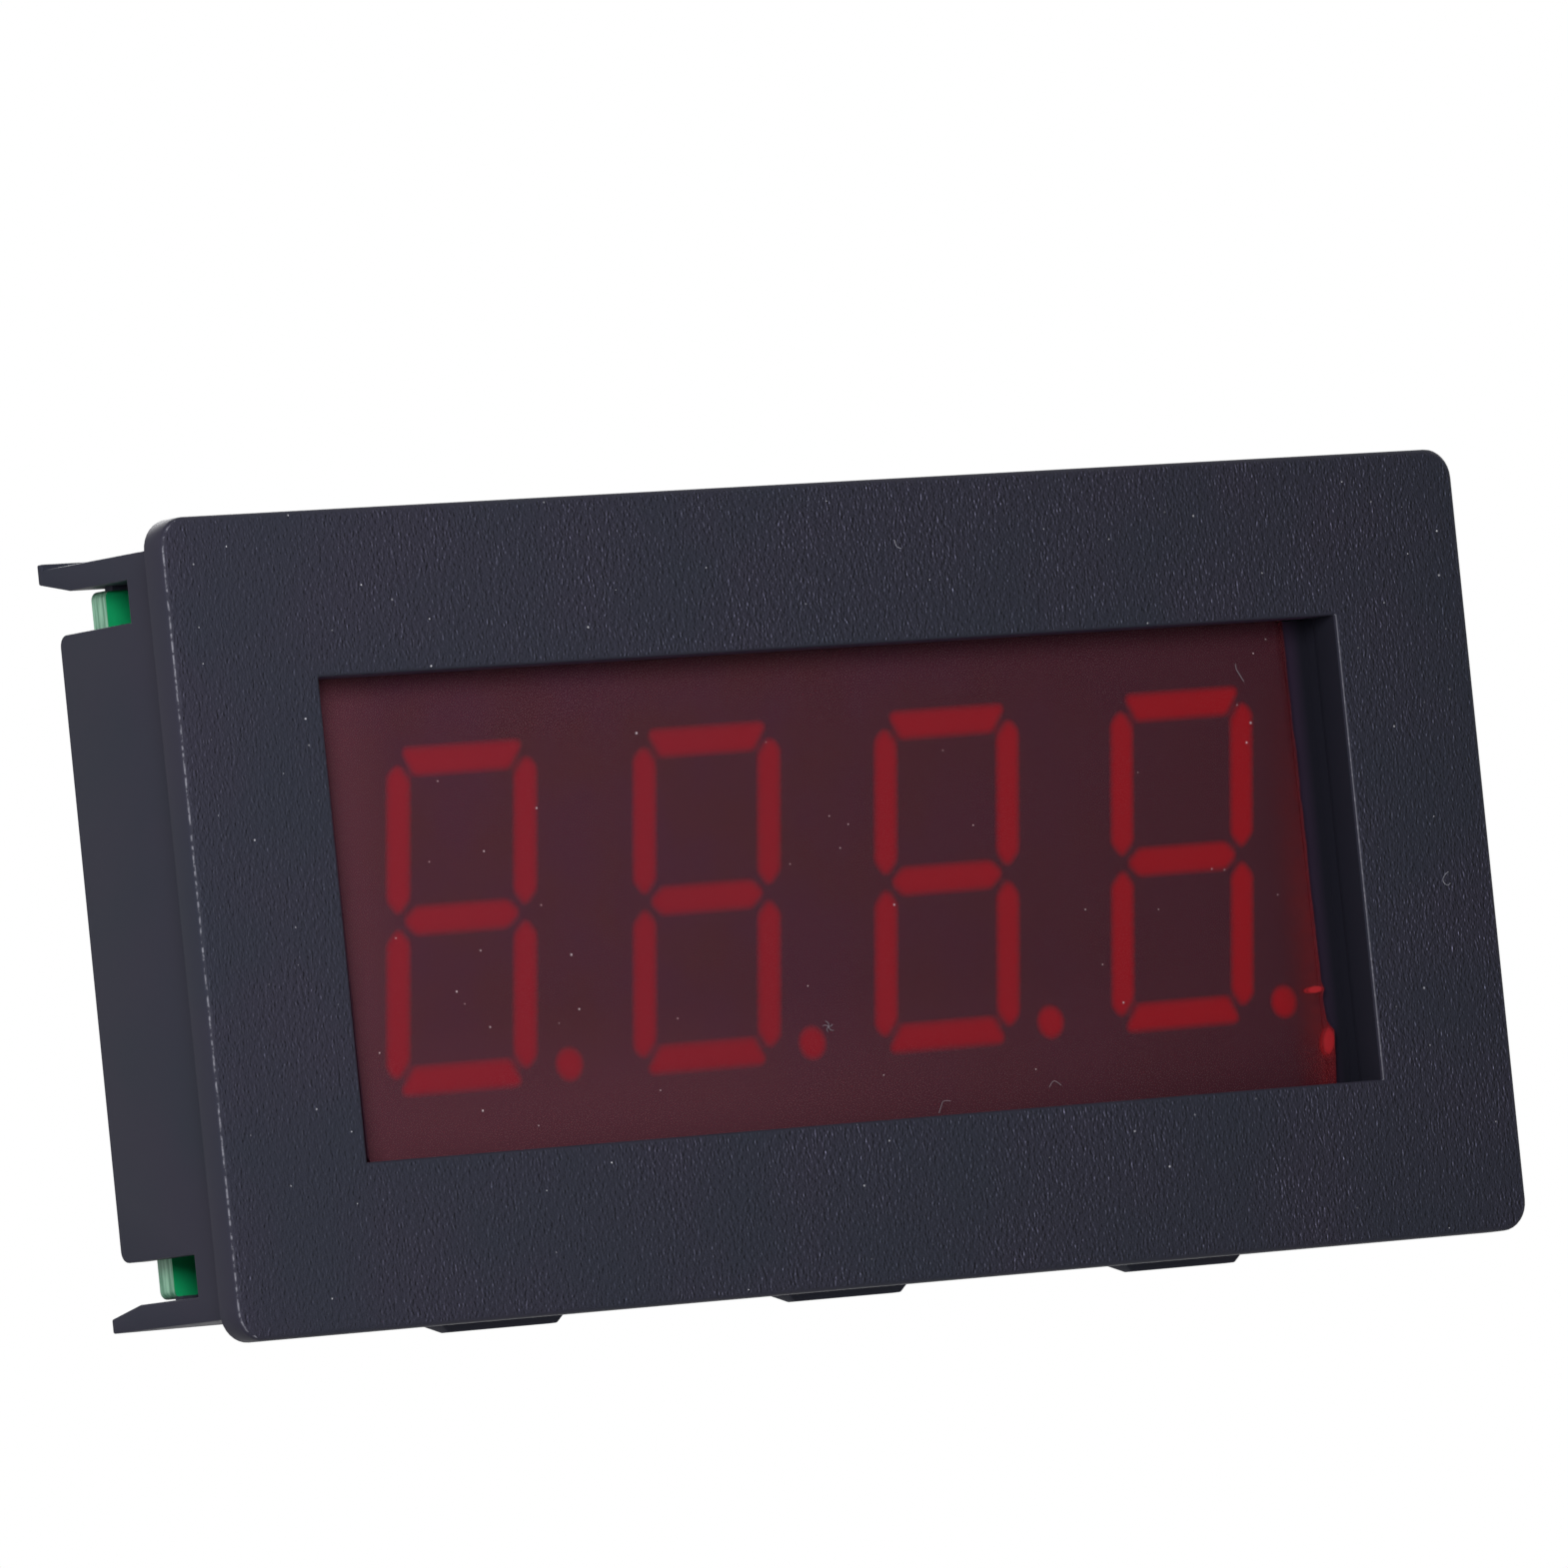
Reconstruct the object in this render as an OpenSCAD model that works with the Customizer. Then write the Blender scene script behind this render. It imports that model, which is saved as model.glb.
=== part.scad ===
// Four digit seven segment display module in a snap-in panel case.
// Millimetres. X runs to the viewer's right, Z up, and Y away from the viewer into the panel.
// The origin is the centre of the panel cut-out, in the plane of the bezel's rear face.

/* [Bezel] */
// Width of the bezel
bezel_w = 96; // [90:0.5:110]
// Height of the bezel
bezel_h = 48; // [45:0.5:60]
// Thickness of the bezel plate
bezel_t = 2; // [1.5:0.1:3]
// Corner radius of the bezel, seen from the front
bezel_corner_r = 1.8; // [1:0.1:4]
// Rounding of the bezel's front edge
bezel_edge_r = 0.4; // [0.2:0.1:0.8]
// Height of the window in the bezel
window_h = 28.4; // [28:0.1:32]
// Gap between the row of digits and each side of the window
window_side_gap = 2; // [0.5:0.1:3]

/* [Case] */
// How far the bezel laps over the panel at each side
side_lap = 2.1; // [1:0.1:4]
// How far the bezel laps over the panel at top and bottom
top_lap = 1.5; // [1:0.1:3]
// Thickness of the case walls
wall_t = 1.5; // [1:0.1:2]
// Thickness of the front wall around the window
front_wall_t = 2.4; // [2.2:0.1:3.5]
// How far the side walls reach behind the board
side_guard = 1.3; // [0.5:0.1:4]
// How far the top and bottom walls reach behind the board
tongue_guard = 2.9; // [2:0.1:6]
// Height of the slot at each corner of the side walls
slot_h = 2.5; // [1.5:0.1:4]
// Distance from the bezel's rear face to the closed end of the slots
slot_start = 5; // [3:0.1:7]

/* [Snap ribs] */
// Ribs on each of the top and bottom walls
rib_count = 3; // [1:1:3]
// Distance between ribs
rib_pitch = 25.4; // [18:0.1:28]
// Length of a rib at its root
rib_l = 8.9; // [5:0.1:14]
// Height of a rib above its wall
rib_rise = 1.85; // [0.5:0.05:2.5]
// Distance from the bezel's rear face to the rib, which is room for the panel
rib_start = 3.2; // [2.2:0.1:4]
// Length of a rib along the depth of the case
rib_depth = 5.8; // [4:0.1:6]

/* [Digits] */
// Room between the row of digits and the case's side walls
row_margin = 8.6; // [7.5:0.1:10]
// Height of a digit's housing
digit_h = 27.7; // [26:0.1:29]
// Depth of a digit's housing
digit_d = 8.2; // [7:0.1:11]
// Slight turn with which the row of digits is soldered in
row_skew = 0.43; // [0:0.01:0.6]
// Height of a figure
figure_h = 20.4; // [18:0.1:21]
// Room for each side of a figure, between its bars and the edge of its digit
figure_margin = 3.5; // [3.4:0.05:4.4]
// Width of a bar
bar_w = 1.72; // [1.2:0.02:2.2]
// Slant of the figures
slant = 7.4; // [0:0.1:9]
// Diameter of a decimal point
point_d = 2; // [1.2:0.1:2.2]
// Thickness of the red film
film_t = 0.4; // [0.2:0.05:0.6]

/* [Board] */
// Thickness of the board
board_t = 1.5; // [1:0.1:2]
// Gap between the board's edge and the case walls
board_gap = 0.15; // [0.1:0.05:0.3]
// Diameter of the board screws
screw_d = 2.2; // [1.8:0.1:2.6]
// Diameter of the bosses that carry the board
boss_d = 4.8; // [4.2:0.1:5.2]

/* [Hidden] */
$fn = 48;

// Through cuts run this far past the faces they cut
cut = 1;

// Thickness of each step of the bezel's rounded edge
edge_slice = 0.05;

// Outer and inner size of the case behind the bezel
body_w = bezel_w - 2 * side_lap;
body_h = bezel_h - 2 * top_lap;
inner_w = body_w - 2 * wall_t;
inner_h = body_h - 2 * wall_t;

// Row of digits
digit_count = 4;
digit_seam = 0.02;
row_w = inner_w - 2 * row_margin;
digit_pitch = row_w / digit_count;
digit_w = digit_pitch - digit_seam;
figure_w = digit_pitch - 2 * figure_margin;
window_w = row_w + 2 * window_side_gap;

// Places along the depth, from the front wall to the board
front_wall_rear = front_wall_t - bezel_t;
film_gap = 0.2;
film_front = front_wall_rear + film_gap;
digit_face = film_front + film_t;
digit_rear = digit_face + digit_d;
digit_foot = 0.5;
board_front = digit_rear + digit_foot;
board_rear = board_front + board_t;
side_end = board_rear + side_guard;
tongue_end = board_rear + tongue_guard;

// Rear edge of the side walls and of the tongues
side_corner_r = 0.7;
tongue_bevel_l = 3.1;
tongue_tip_t = 0.85;
tongue_lip = 0.35;
tongue_lip_l = 0.5;

// Snap ribs: the flat top, the steep face towards the panel, and the bevel at both ends
rib_top_l = 0.8;
rib_lead = 0.4;
rib_bevel = 0.5;
rib_sink = 0.2;

// Red film: it laps behind the window's upper and lower edges, and its lower right corner was
// cut wide, which leaves a small tab and, above it, a short spur
film_inset = 0.05;
film_lap = 0.55;
film_w = row_w - 2 * film_inset;
film_h = window_h + 2 * film_lap;
film_tab_w = 0.6;
film_tab_h = 4.2;
film_spur_w = 0.3;
film_spur_h = 0.7;
film_spur_up = 6.6;

// Ledge that closes the gap beside the digits behind each side of the window
ledge_step = 0.2;
ledge_front = digit_face + ledge_step;
ledge_t = 1.2;
ledge_root = 1.2;
ledge_gap = 0.25;

// Digit housing
housing_rim = 0.9;
housing_edge_r = 0.4;
recess_d = 1.6;
substrate_t = 1.2;
substrate_gap = 0.1;
foot_l = 2;
die_room = 0.5;
die_w = 0.35;
die_t = 0.2;

// Figure, with its parts measured from the figure's centre
figure_shift = -0.42;
corner_cut = 1.05;
corner_gap = 0.25;
mid_gap = 0.45;
tip_l = 0.8;
tip_flat = 0.3;
point_inset = 2.35;
point_x = digit_pitch / 2 - point_inset;
point_up = 1.05;
point_z = point_up - figure_h / 2;

// Leads of a digit
pin_r = 0.25;
pin_pitch = 2.54;
pins_in_row = 5;
pin_inset = 2.42;
pin_row_gap = digit_h - 2 * pin_inset;
pin_hole_r = 0.4;
substrate_hole_r = 0.3;
pin_tail = 1.4;

// Solder joints
solder_r = 0.85;
solder_tip_r = 0.45;
solder_h = 0.8;
solder_gap = 0.02;

// Board and screws
board_w = inner_w - 2 * board_gap;
board_h = inner_h - 2 * board_gap;
board_corner_r = 0.5;
boss_side_inset = 4.3;
boss_top_inset = 3.6;
boss_x = inner_w / 2 - boss_side_inset;
boss_z = inner_h / 2 - boss_top_inset;
screw_hole_gap = 0.2;
pilot_gap = 0.02;
pilot_depth = 7;
screw_l = 6;
screw_head_d = 1.8 * screw_d;
screw_head_h = 1.2;
screw_slot_l = 0.6 * screw_head_d;
screw_slot_w = 0.5;
screw_slot_d = 0.7;

// Controller: a square chip with legs on four sides
controller_w = 10;
controller_h = 2;
controller_legs_side = 11;
controller_leg_pitch = 0.8;
controller_leg_w = 0.36;
controller_leg_out = 1.4;

// Driver: a long chip with legs on two sides
driver_l = 15.4;
driver_w = 7.5;
driver_h = 2.3;
driver_legs_side = 12;
driver_leg_pitch = 1.27;
driver_leg_w = 0.42;
driver_leg_out = 1.4;

// Gap between a chip's body and the board, and the thickness of its legs
chip_lift = 0.15;
leg_t = 0.2;

// Regulator and diode, near the power header
regulator_l = 6.5;
regulator_w = 3.5;
regulator_h = 1.6;
regulator_leg_pitch = 2.3;
regulator_leg_w = 0.7;
regulator_tab_w = 3;
regulator_leg_out = 1.5;
diode_l = 4.3;
diode_w = 2.6;
diode_h = 2.1;
diode_terminal_l = 0.5;

// Transistors, in the strip above the digits' leads
transistor_l = 2.9;
transistor_w = 1.3;
transistor_h = 1;
transistor_leg_w = 0.4;
transistor_leg_out = 0.55;
transistor_leg_gap = 1.9;

// Crystal can
crystal_l = 11.4;
crystal_w = 4.7;
crystal_h = 3.6;
crystal_flange = 0.4;

// Electrolytic capacitors
can_r = 3.15;
can_h = 5.4;
can_base_w = 6.6;
can_base_h = 0.9;
can_pitch = 8;

// Ceramic capacitors and resistors
chip_l = 2;
chip_w = 1.25;
ceramic_h = 0.9;
resistor_h = 0.5;
resistor_pitch = 2.2;
resistor_count = 8;

// Pin headers, which stand in columns near the ends of the board
header_pitch = 2.54;
header_base_h = 2.5;
header_pin_w = 0.64;
header_pin_l = 8.5;
header_hole_r = 0.5;
header_pin_tail = 1.2;
header_inset = 4.2;
signal_pins = 6;
power_pins = 2;
latch_t = 1;
latch_h = 6;
header_x = board_w / 2 - header_inset;

// Strips of the board above and below the digits' leads
strip_z = (pin_row_gap + board_h) / 4;

// Between the rows of leads, the chips share the room between the headers in even gaps
lead_clearance = 0.6;
between_leads = pin_row_gap / 2 - solder_r - lead_clearance;
cans_l = can_pitch + can_base_w;
controller_l = controller_w + 2 * controller_leg_out;
chip_gap = (2 * header_x - header_pitch - regulator_l - cans_l - controller_l - driver_l) / 5;
regulator_x = -header_x + header_pitch / 2 + chip_gap + regulator_l / 2;
can_x = regulator_x + regulator_l / 2 + chip_gap + cans_l / 2;
controller_x = can_x + cans_l / 2 + chip_gap + controller_l / 2;
driver_x = controller_x + controller_l / 2 + chip_gap + driver_l / 2;
regulator_z = between_leads - regulator_w / 2 - regulator_leg_out;
diode_z = diode_w / 2 - between_leads;
crystal_z = between_leads - crystal_w / 2;
can_z = can_base_w / 2 - between_leads;
ceramic_z = 3;

// Extrudes an outline drawn in the front view from one depth to another
module slab(y0, y1) {
    translate([0, y1, 0]) rotate([90, 0, 0]) linear_extrude(y1 - y0) children();
}

// Extrudes an outline drawn in the side view, as depth and height, from one side to another
module rail(x0, x1) {
    translate([x0, 0, 0]) rotate([90, 0, 90]) linear_extrude(x1 - x0) children();
}

module round_rect(w, h, r) {
    square([w - 2 * r, h], center = true);
    square([w, h - 2 * r], center = true);
    for (sx = [-1, 1], sz = [-1, 1])
        translate([sx * (w / 2 - r), sz * (h / 2 - r)]) circle(r);
}

// Bezel plate, with its front edge rounded in steps
module bezel_plate() {
    slab(bezel_edge_r - bezel_t, 0) round_rect(bezel_w, bezel_h, bezel_corner_r);
    hull() for (turn = [0 : 30 : 90])
        let (inset = bezel_edge_r * (1 - sin(turn)), depth = bezel_edge_r * (1 - cos(turn)))
        slab(depth - bezel_t, depth + edge_slice - bezel_t)
            round_rect(bezel_w - 2 * inset, bezel_h - 2 * inset, bezel_corner_r - inset, $fn = 32);
}

// A side wall, narrower behind the start of its corner slots
module side_wall() {
    translate([0, -inner_h / 2]) square([slot_start, inner_h]);
    translate([side_end / 2, 0])
        round_rect(side_end, inner_h - 2 * slot_h, side_corner_r);
    translate([0, slot_h - inner_h / 2])
        square([side_end - side_corner_r, inner_h - 2 * slot_h]);
}

// Section of the upper tongue: the inner side is bevelled towards the tip
module tongue_section() {
    polygon([[0, inner_h / 2], [tongue_end - tongue_bevel_l, inner_h / 2],
        [tongue_end, body_h / 2 - tongue_tip_t], [tongue_end, body_h / 2], [0, body_h / 2]]);
}

// A snap rib on the upper wall: a steep face towards the panel and a long ramp behind
module snap_rib() {
    root = body_h / 2 - rib_sink;
    top = body_h / 2 + rib_rise;
    intersection() {
        rail(-rib_l / 2, rib_l / 2)
            polygon([[rib_start, root], [rib_start + rib_lead, top],
                [rib_start + rib_lead + rib_top_l, top], [rib_start + rib_depth, root]]);
        slab(0, tongue_end)
            polygon([[-rib_l / 2, root], [-rib_l / 2, top - rib_bevel],
                [rib_bevel - rib_l / 2, top], [rib_l / 2 - rib_bevel, top],
                [rib_l / 2, top - rib_bevel], [rib_l / 2, root]]);
    }
}

// Ledge behind the right side of the window, moulded on the rear of the front wall
module window_ledge() {
    tip = row_w / 2 + ledge_gap;
    side = window_w / 2;
    translate([0, 0, -window_h / 2]) {
        translate([tip, ledge_front, 0]) cube([side + ledge_root - tip, ledge_t, window_h]);
        translate([side, 0, 0]) cube([ledge_root, ledge_front + ledge_t, window_h]);
    }
}

module at_bosses() {
    for (sx = [-1, 1], sz = [-1, 1]) translate([sx * boss_x, 0, sz * boss_z]) children();
}

// One moulding: bezel, walls, tongues, snap ribs, ledges and the bosses for the board
module case() {
    color("#2c2e38") {
        difference() {
            union() {
                bezel_plate();
                slab(-bezel_edge_r, front_wall_rear) square([body_w, body_h], center = true);
            }
            slab(-bezel_t - cut, front_wall_rear + cut) square([window_w, window_h], center = true);
        }
        rail(inner_w / 2, body_w / 2) side_wall();
        rail(-body_w / 2, -inner_w / 2) side_wall();
        for (side = [0, 1]) mirror([side, 0, 0]) window_ledge();
        for (side = [0, 1]) mirror([0, 0, side]) {
            rail(-body_w / 2, body_w / 2) tongue_section();
            for (i = [0 : rib_count - 1])
                translate([(i - (rib_count - 1) / 2) * rib_pitch, 0, 0]) snap_rib();
        }
        rail(-body_w / 2, body_w / 2)
            translate([tongue_end - tongue_lip_l, body_h / 2 - tongue_lip])
            square([tongue_lip_l, 2 * tongue_lip]);
        difference() {
            at_bosses() slab(0, board_front) circle(d = boss_d);
            at_bosses() slab(board_front - pilot_depth, board_front + cut)
                circle(d = screw_d + 2 * pilot_gap);
        }
    }
}

// Places a piece of one digit in the skewed row, with the digit's centre on the Y axis
module in_row(i) {
    rotate([0, -row_skew, 0])
        translate([(i - (digit_count - 1) / 2) * digit_pitch, 0, 0]) children();
}

module red_film() {
    side = film_w / 2;
    foot = -film_h / 2;
    spur = foot + film_spur_up;
    tab = foot + film_tab_h;
    color("#7a1a24") rotate([0, -row_skew, 0]) slab(film_front, digit_face)
        polygon([[-side, foot], [side + film_tab_w / 2, foot], [side + film_tab_w, tab - film_tab_w],
            [side, tab], [side, spur], [side + film_spur_w, spur + film_spur_h / 2],
            [side, spur + film_spur_h], [side, -foot], [-side, -foot]]);
}

// Leans a point of the figure to the right by the slant
function lean(p) = [p[0] + p[1] * tan(slant), p[1]];

// Upper right bar of a figure, mitred at its top and pointed at its foot
upright_points = [[figure_w / 2 - bar_w, figure_h / 2 - bar_w - corner_gap],
    [figure_w / 2 - bar_w / 2 - tip_flat / 2, figure_h / 2 - corner_cut],
    [figure_w / 2 - bar_w / 2 + tip_flat, figure_h / 2 - corner_cut],
    [figure_w / 2, figure_h / 2 - corner_cut - 2 * tip_flat],
    [figure_w / 2, mid_gap + tip_l],
    [figure_w / 2 - bar_w / 2 + tip_flat / 2, mid_gap],
    [figure_w / 2 - bar_w / 2 - tip_flat / 2, mid_gap],
    [figure_w / 2 - bar_w, mid_gap + tip_l]];

// Top bar, with its two outer corners taken off
cap_half = figure_w / 2 - corner_cut;
cap_points = [[tip_flat - cap_half, figure_h / 2], [cap_half - tip_flat, figure_h / 2],
    [cap_half, figure_h / 2 - tip_flat],
    [figure_w / 2 - bar_w - corner_gap, figure_h / 2 - bar_w],
    [bar_w + corner_gap - figure_w / 2, figure_h / 2 - bar_w],
    [-cap_half, figure_h / 2 - tip_flat]];

// Middle bar, pointed at both ends
cross_half = figure_w / 2 - bar_w / 2 - mid_gap;
cross_points = [[-cross_half, -tip_flat / 2], [tip_l - cross_half, -bar_w / 2],
    [cross_half - tip_l, -bar_w / 2], [cross_half, -tip_flat / 2], [cross_half, tip_flat / 2],
    [cross_half - tip_l, bar_w / 2], [tip_l - cross_half, bar_w / 2], [-cross_half, tip_flat / 2]];

// Outlines of the seven bars and the point, about the centre of the digit's housing
module figure_outline() {
    translate([figure_shift, 0]) {
        for (sx = [-1, 1], sz = [-1, 1])
            polygon([for (p = upright_points) lean([sx * p[0], sz * p[1]])]);
        for (sz = [-1, 1]) polygon([for (p = cap_points) lean([p[0], sz * p[1]])]);
        polygon([for (p = cross_points) lean(p)]);
        translate([point_x, point_z]) circle(d = point_d, $fn = 32);
    }
}

module digit_housing(i) {
    color("#3a3236") in_row(i) {
        difference() {
            slab(digit_face, digit_rear) round_rect(digit_w, digit_h, housing_edge_r);
            slab(digit_face - cut, digit_rear) figure_outline();
            slab(digit_rear - recess_d, digit_rear + cut)
                square([digit_w - 2 * housing_rim, digit_h - 2 * housing_rim], center = true);
        }
        for (sx = [-1, 1], sz = [-1, 1])
            translate([sx * (digit_w - housing_rim) / 2, 0, sz * (digit_h / 2 - foot_l)])
            slab(digit_rear, board_front) square([housing_rim, foot_l], center = true);
    }
}

// The cast bars reach from the face to a little above the dice
module digit_segments(i) {
    color("#a01c22") in_row(i)
        slab(digit_face, digit_rear - recess_d - die_room) figure_outline();
}

module at_pins() {
    for (k = [0 : pins_in_row - 1], sz = [-1, 1])
        translate([(k - (pins_in_row - 1) / 2) * pin_pitch, 0, sz * pin_row_gap / 2]) children();
}

substrate_front = digit_rear - recess_d;

module digit_substrate(i) {
    side = 2 * (housing_rim + substrate_gap);
    color("#d8d2b8") in_row(i) difference() {
        slab(substrate_front, substrate_front + substrate_t)
            square([digit_w - side, digit_h - side], center = true);
        at_pins() slab(substrate_front - cut, digit_rear) circle(substrate_hole_r, $fn = 16);
    }
}

module digit_pins(i) {
    color("#c8c8c4") in_row(i) at_pins()
        slab(substrate_front, board_rear + pin_tail) circle(pin_r, $fn = 16);
}

// Die under the middle of each bar and under the point
die_places = concat(
    [for (sx = [-1, 1], sz = [-1, 1])
        lean([sx * (figure_w - bar_w) / 2, sz * figure_h / 4])],
    [for (row = [-1 : 1]) lean([0, row * (figure_h - bar_w) / 2])],
    [[point_x, point_z]]);

module led_dice() {
    color("#e0c070") for (i = [0 : digit_count - 1]) in_row(i)
        for (p = die_places) translate([figure_shift + p[0], 0, p[1]])
            slab(substrate_front - die_t, substrate_front) square(die_w, center = true);
}

// Places a piece at each pin of both headers, which stand in columns at the ends of the board
module at_header_pins() {
    for (column = [[header_x, signal_pins], [-header_x, power_pins]])
        for (k = [0 : column[1] - 1])
            translate([column[0], 0, (k - (column[1] - 1) / 2) * header_pitch]) children();
}

module main_board() {
    color("#0b7c3f") difference() {
        slab(board_front, board_rear) round_rect(board_w, board_h, board_corner_r);
        for (i = [0 : digit_count - 1]) in_row(i) at_pins()
            slab(board_front - cut, board_rear + cut) circle(pin_hole_r, $fn = 16);
        at_bosses() slab(board_front - cut, board_rear + cut)
            circle(d = screw_d + 2 * screw_hole_gap);
        at_header_pins()
            slab(board_front - cut, board_rear + cut) circle(header_hole_r, $fn = 16);
    }
}

// Solder fillet around a lead of the given radius, standing on the rear of the board
module solder_cone(lead_r) {
    translate([0, board_rear, 0]) rotate([-90, 0, 0]) difference() {
        cylinder(h = solder_h, r1 = solder_r, r2 = solder_tip_r, $fn = 16);
        translate([0, 0, -cut]) cylinder(h = solder_h + 2 * cut, r = lead_r, $fn = 16);
    }
}

module display_solder() {
    color("#b9bcc0") for (i = [0 : digit_count - 1]) in_row(i) at_pins()
        solder_cone(pin_r + solder_gap);
}

// Pan head screw with a cross recess, driven from behind
module board_screws() {
    head_rear = board_rear + screw_head_h;
    color("#8f9296") at_bosses() {
        slab(board_rear - screw_l, board_rear) circle(d = screw_d);
        difference() {
            slab(board_rear, head_rear) circle(d = screw_head_d);
            for (turn = [0, 90]) rotate([0, turn, 0])
                slab(head_rear - screw_slot_d, head_rear + cut)
                square([screw_slot_l, screw_slot_w], center = true);
        }
    }
}

// Places a piece on the rear of the board, with its own Z pointing away from the board
module on_rear(x, z) {
    translate([x, board_rear, z]) rotate([-90, 0, 0]) children();
}

module centred_box(l, w, z0, z1) {
    translate([-l / 2, -w / 2, z0]) cube([l, w, z1 - z0]);
}

// Moulded chip body, a little narrower towards its top
module chip_body(l, w, h) {
    shoulder = h / 2;
    draft = 0.15;
    centred_box(l, w, chip_lift, shoulder);
    centred_box(l - 2 * draft, w - 2 * draft, shoulder, h);
}

// Gull wing leg along +X from the body's side, with its foot on the board
module gull_leg(w, out, h) {
    knee = out / 2;
    translate([0, w / 2, 0]) rotate([90, 0, 0]) linear_extrude(w)
        polygon([[0, h - leg_t], [knee - leg_t, h - leg_t], [knee - leg_t, 0], [out, 0],
            [out, leg_t], [knee, leg_t], [knee, h], [0, h]]);
}

// A row of legs along the side of a body that lies at the given distance from its centre
module leg_row(count, pitch, reach, w, out, h) {
    for (k = [0 : count - 1])
        translate([reach, (k - (count - 1) / 2) * pitch, 0]) gull_leg(w, out, h);
}

module controller_chip() {
    color("#26262a") on_rear(controller_x, 0)
        chip_body(controller_w, controller_w, controller_h);
}

module controller_legs() {
    color("#c4c6c8") on_rear(controller_x, 0)
        for (turn = [0 : 90 : 270]) rotate([0, 0, turn])
            leg_row(controller_legs_side, controller_leg_pitch, controller_w / 2,
                controller_leg_w, controller_leg_out, controller_h / 2);
}

module driver_chip() {
    color("#26262a") on_rear(driver_x, 0) chip_body(driver_l, driver_w, driver_h);
}

module driver_legs() {
    color("#c4c6c8") on_rear(driver_x, 0)
        for (turn = [90, 270]) rotate([0, 0, turn])
            leg_row(driver_legs_side, driver_leg_pitch, driver_w / 2,
                driver_leg_w, driver_leg_out, driver_h / 2);
}

module regulator_body() {
    color("#26262a") on_rear(regulator_x, regulator_z)
        chip_body(regulator_l, regulator_w, regulator_h);
}

// Three legs on one side and the wide tab on the other
module regulator_legs() {
    color("#c4c6c8") on_rear(regulator_x, regulator_z) {
        rotate([0, 0, 90]) leg_row(3, regulator_leg_pitch, regulator_w / 2,
            regulator_leg_w, regulator_leg_out, regulator_h / 2);
        rotate([0, 0, -90]) leg_row(1, 0, regulator_w / 2,
            regulator_tab_w, regulator_leg_out, regulator_h / 2);
    }
}

module diode() {
    color("#2a2a2c") on_rear(regulator_x, diode_z) {
        centred_box(diode_l, diode_w, chip_lift, diode_h);
        for (sx = [-1, 1]) translate([sx * (diode_l + diode_terminal_l) / 2, 0, 0])
            centred_box(diode_terminal_l, diode_w / 2, 0, diode_h / 2);
    }
}

// Obround metal can on its flange
module crystal() {
    color("#c8cacc") on_rear(can_x, crystal_z) {
        for (part = [[0, 0, crystal_flange], [crystal_flange, 0, crystal_h]])
            linear_extrude(part[2]) {
                square([crystal_l - crystal_w, crystal_w - 2 * part[0]], center = true);
                for (sx = [-1, 1]) translate([sx * (crystal_l - crystal_w) / 2, 0])
                    circle(d = crystal_w - 2 * part[0]);
            }
    }
}

module at_cans() {
    for (s = [-1, 1]) on_rear(can_x + s * can_pitch / 2, can_z) children();
}

module capacitor_bases() {
    bevel = can_base_w / 5;
    half = can_base_w / 2;
    color("#1e1e20") at_cans() linear_extrude(can_base_h)
        polygon([[-half, -half], [half, -half], [half, half - bevel], [half - bevel, half],
            [bevel - half, half], [-half, half - bevel]]);
}

module capacitor_cans() {
    groove_z = 1.6;
    groove_h = 0.5;
    groove_in = 0.25;
    color("#cfd1d4") at_cans() {
        translate([0, 0, can_base_h]) cylinder(h = groove_z - can_base_h, r = can_r);
        translate([0, 0, groove_z]) cylinder(h = groove_h, r = can_r - groove_in);
        translate([0, 0, groove_z + groove_h]) cylinder(h = can_h - groove_h - groove_z, r = can_r);
    }
}

// Ceramic capacitors stand in pairs in the gaps beside the controller and the driver
module ceramic_capacitors() {
    first = controller_x - (controller_l + chip_gap) / 2;
    second = controller_x + (controller_l + chip_gap) / 2;
    third = driver_x + (driver_l + chip_gap) / 2;
    color("#b89a72") for (x = [first, second, third], sz = [-1, 1]) on_rear(x, sz * ceramic_z)
        centred_box(chip_w, chip_l, 0, ceramic_h);
}

// One row of resistors feeds the eight bars of a digit, and one resistor each digit switch
module resistors() {
    color("#1c1c20") {
        for (k = [0 : resistor_count - 1])
            on_rear(driver_x + (k - (resistor_count - 1) / 2) * resistor_pitch, -strip_z)
            centred_box(chip_w, chip_l, 0, resistor_h);
        for (i = [0 : digit_count - 1])
            on_rear((i - (digit_count - 1) / 2) * digit_pitch + 2 * chip_l, strip_z)
            centred_box(chip_l, chip_w, 0, resistor_h);
    }
}

module at_transistors() {
    for (i = [0 : digit_count - 1])
        on_rear((i - (digit_count - 1) / 2) * digit_pitch - chip_l, strip_z) children();
}

module transistor_bodies() {
    color("#26262a") at_transistors()
        centred_box(transistor_l, transistor_w, chip_lift, transistor_h);
}

module transistor_legs() {
    color("#c4c6c8") at_transistors() {
        rotate([0, 0, 90]) leg_row(2, transistor_leg_gap, transistor_w / 2,
            transistor_leg_w, transistor_leg_out, transistor_h / 2);
        rotate([0, 0, -90]) leg_row(1, 0, transistor_w / 2,
            transistor_leg_w, transistor_leg_out, transistor_h / 2);
    }
}

// Insulating strip of a header, with a square hole for each pin
module header_base(count) {
    difference() {
        centred_box(header_pitch, count * header_pitch, 0, header_base_h);
        for (k = [0 : count - 1])
            translate([0, (k - (count - 1) / 2) * header_pitch, 0])
            centred_box(header_pin_w, header_pin_w, -cut, header_base_h + cut);
    }
}

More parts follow.
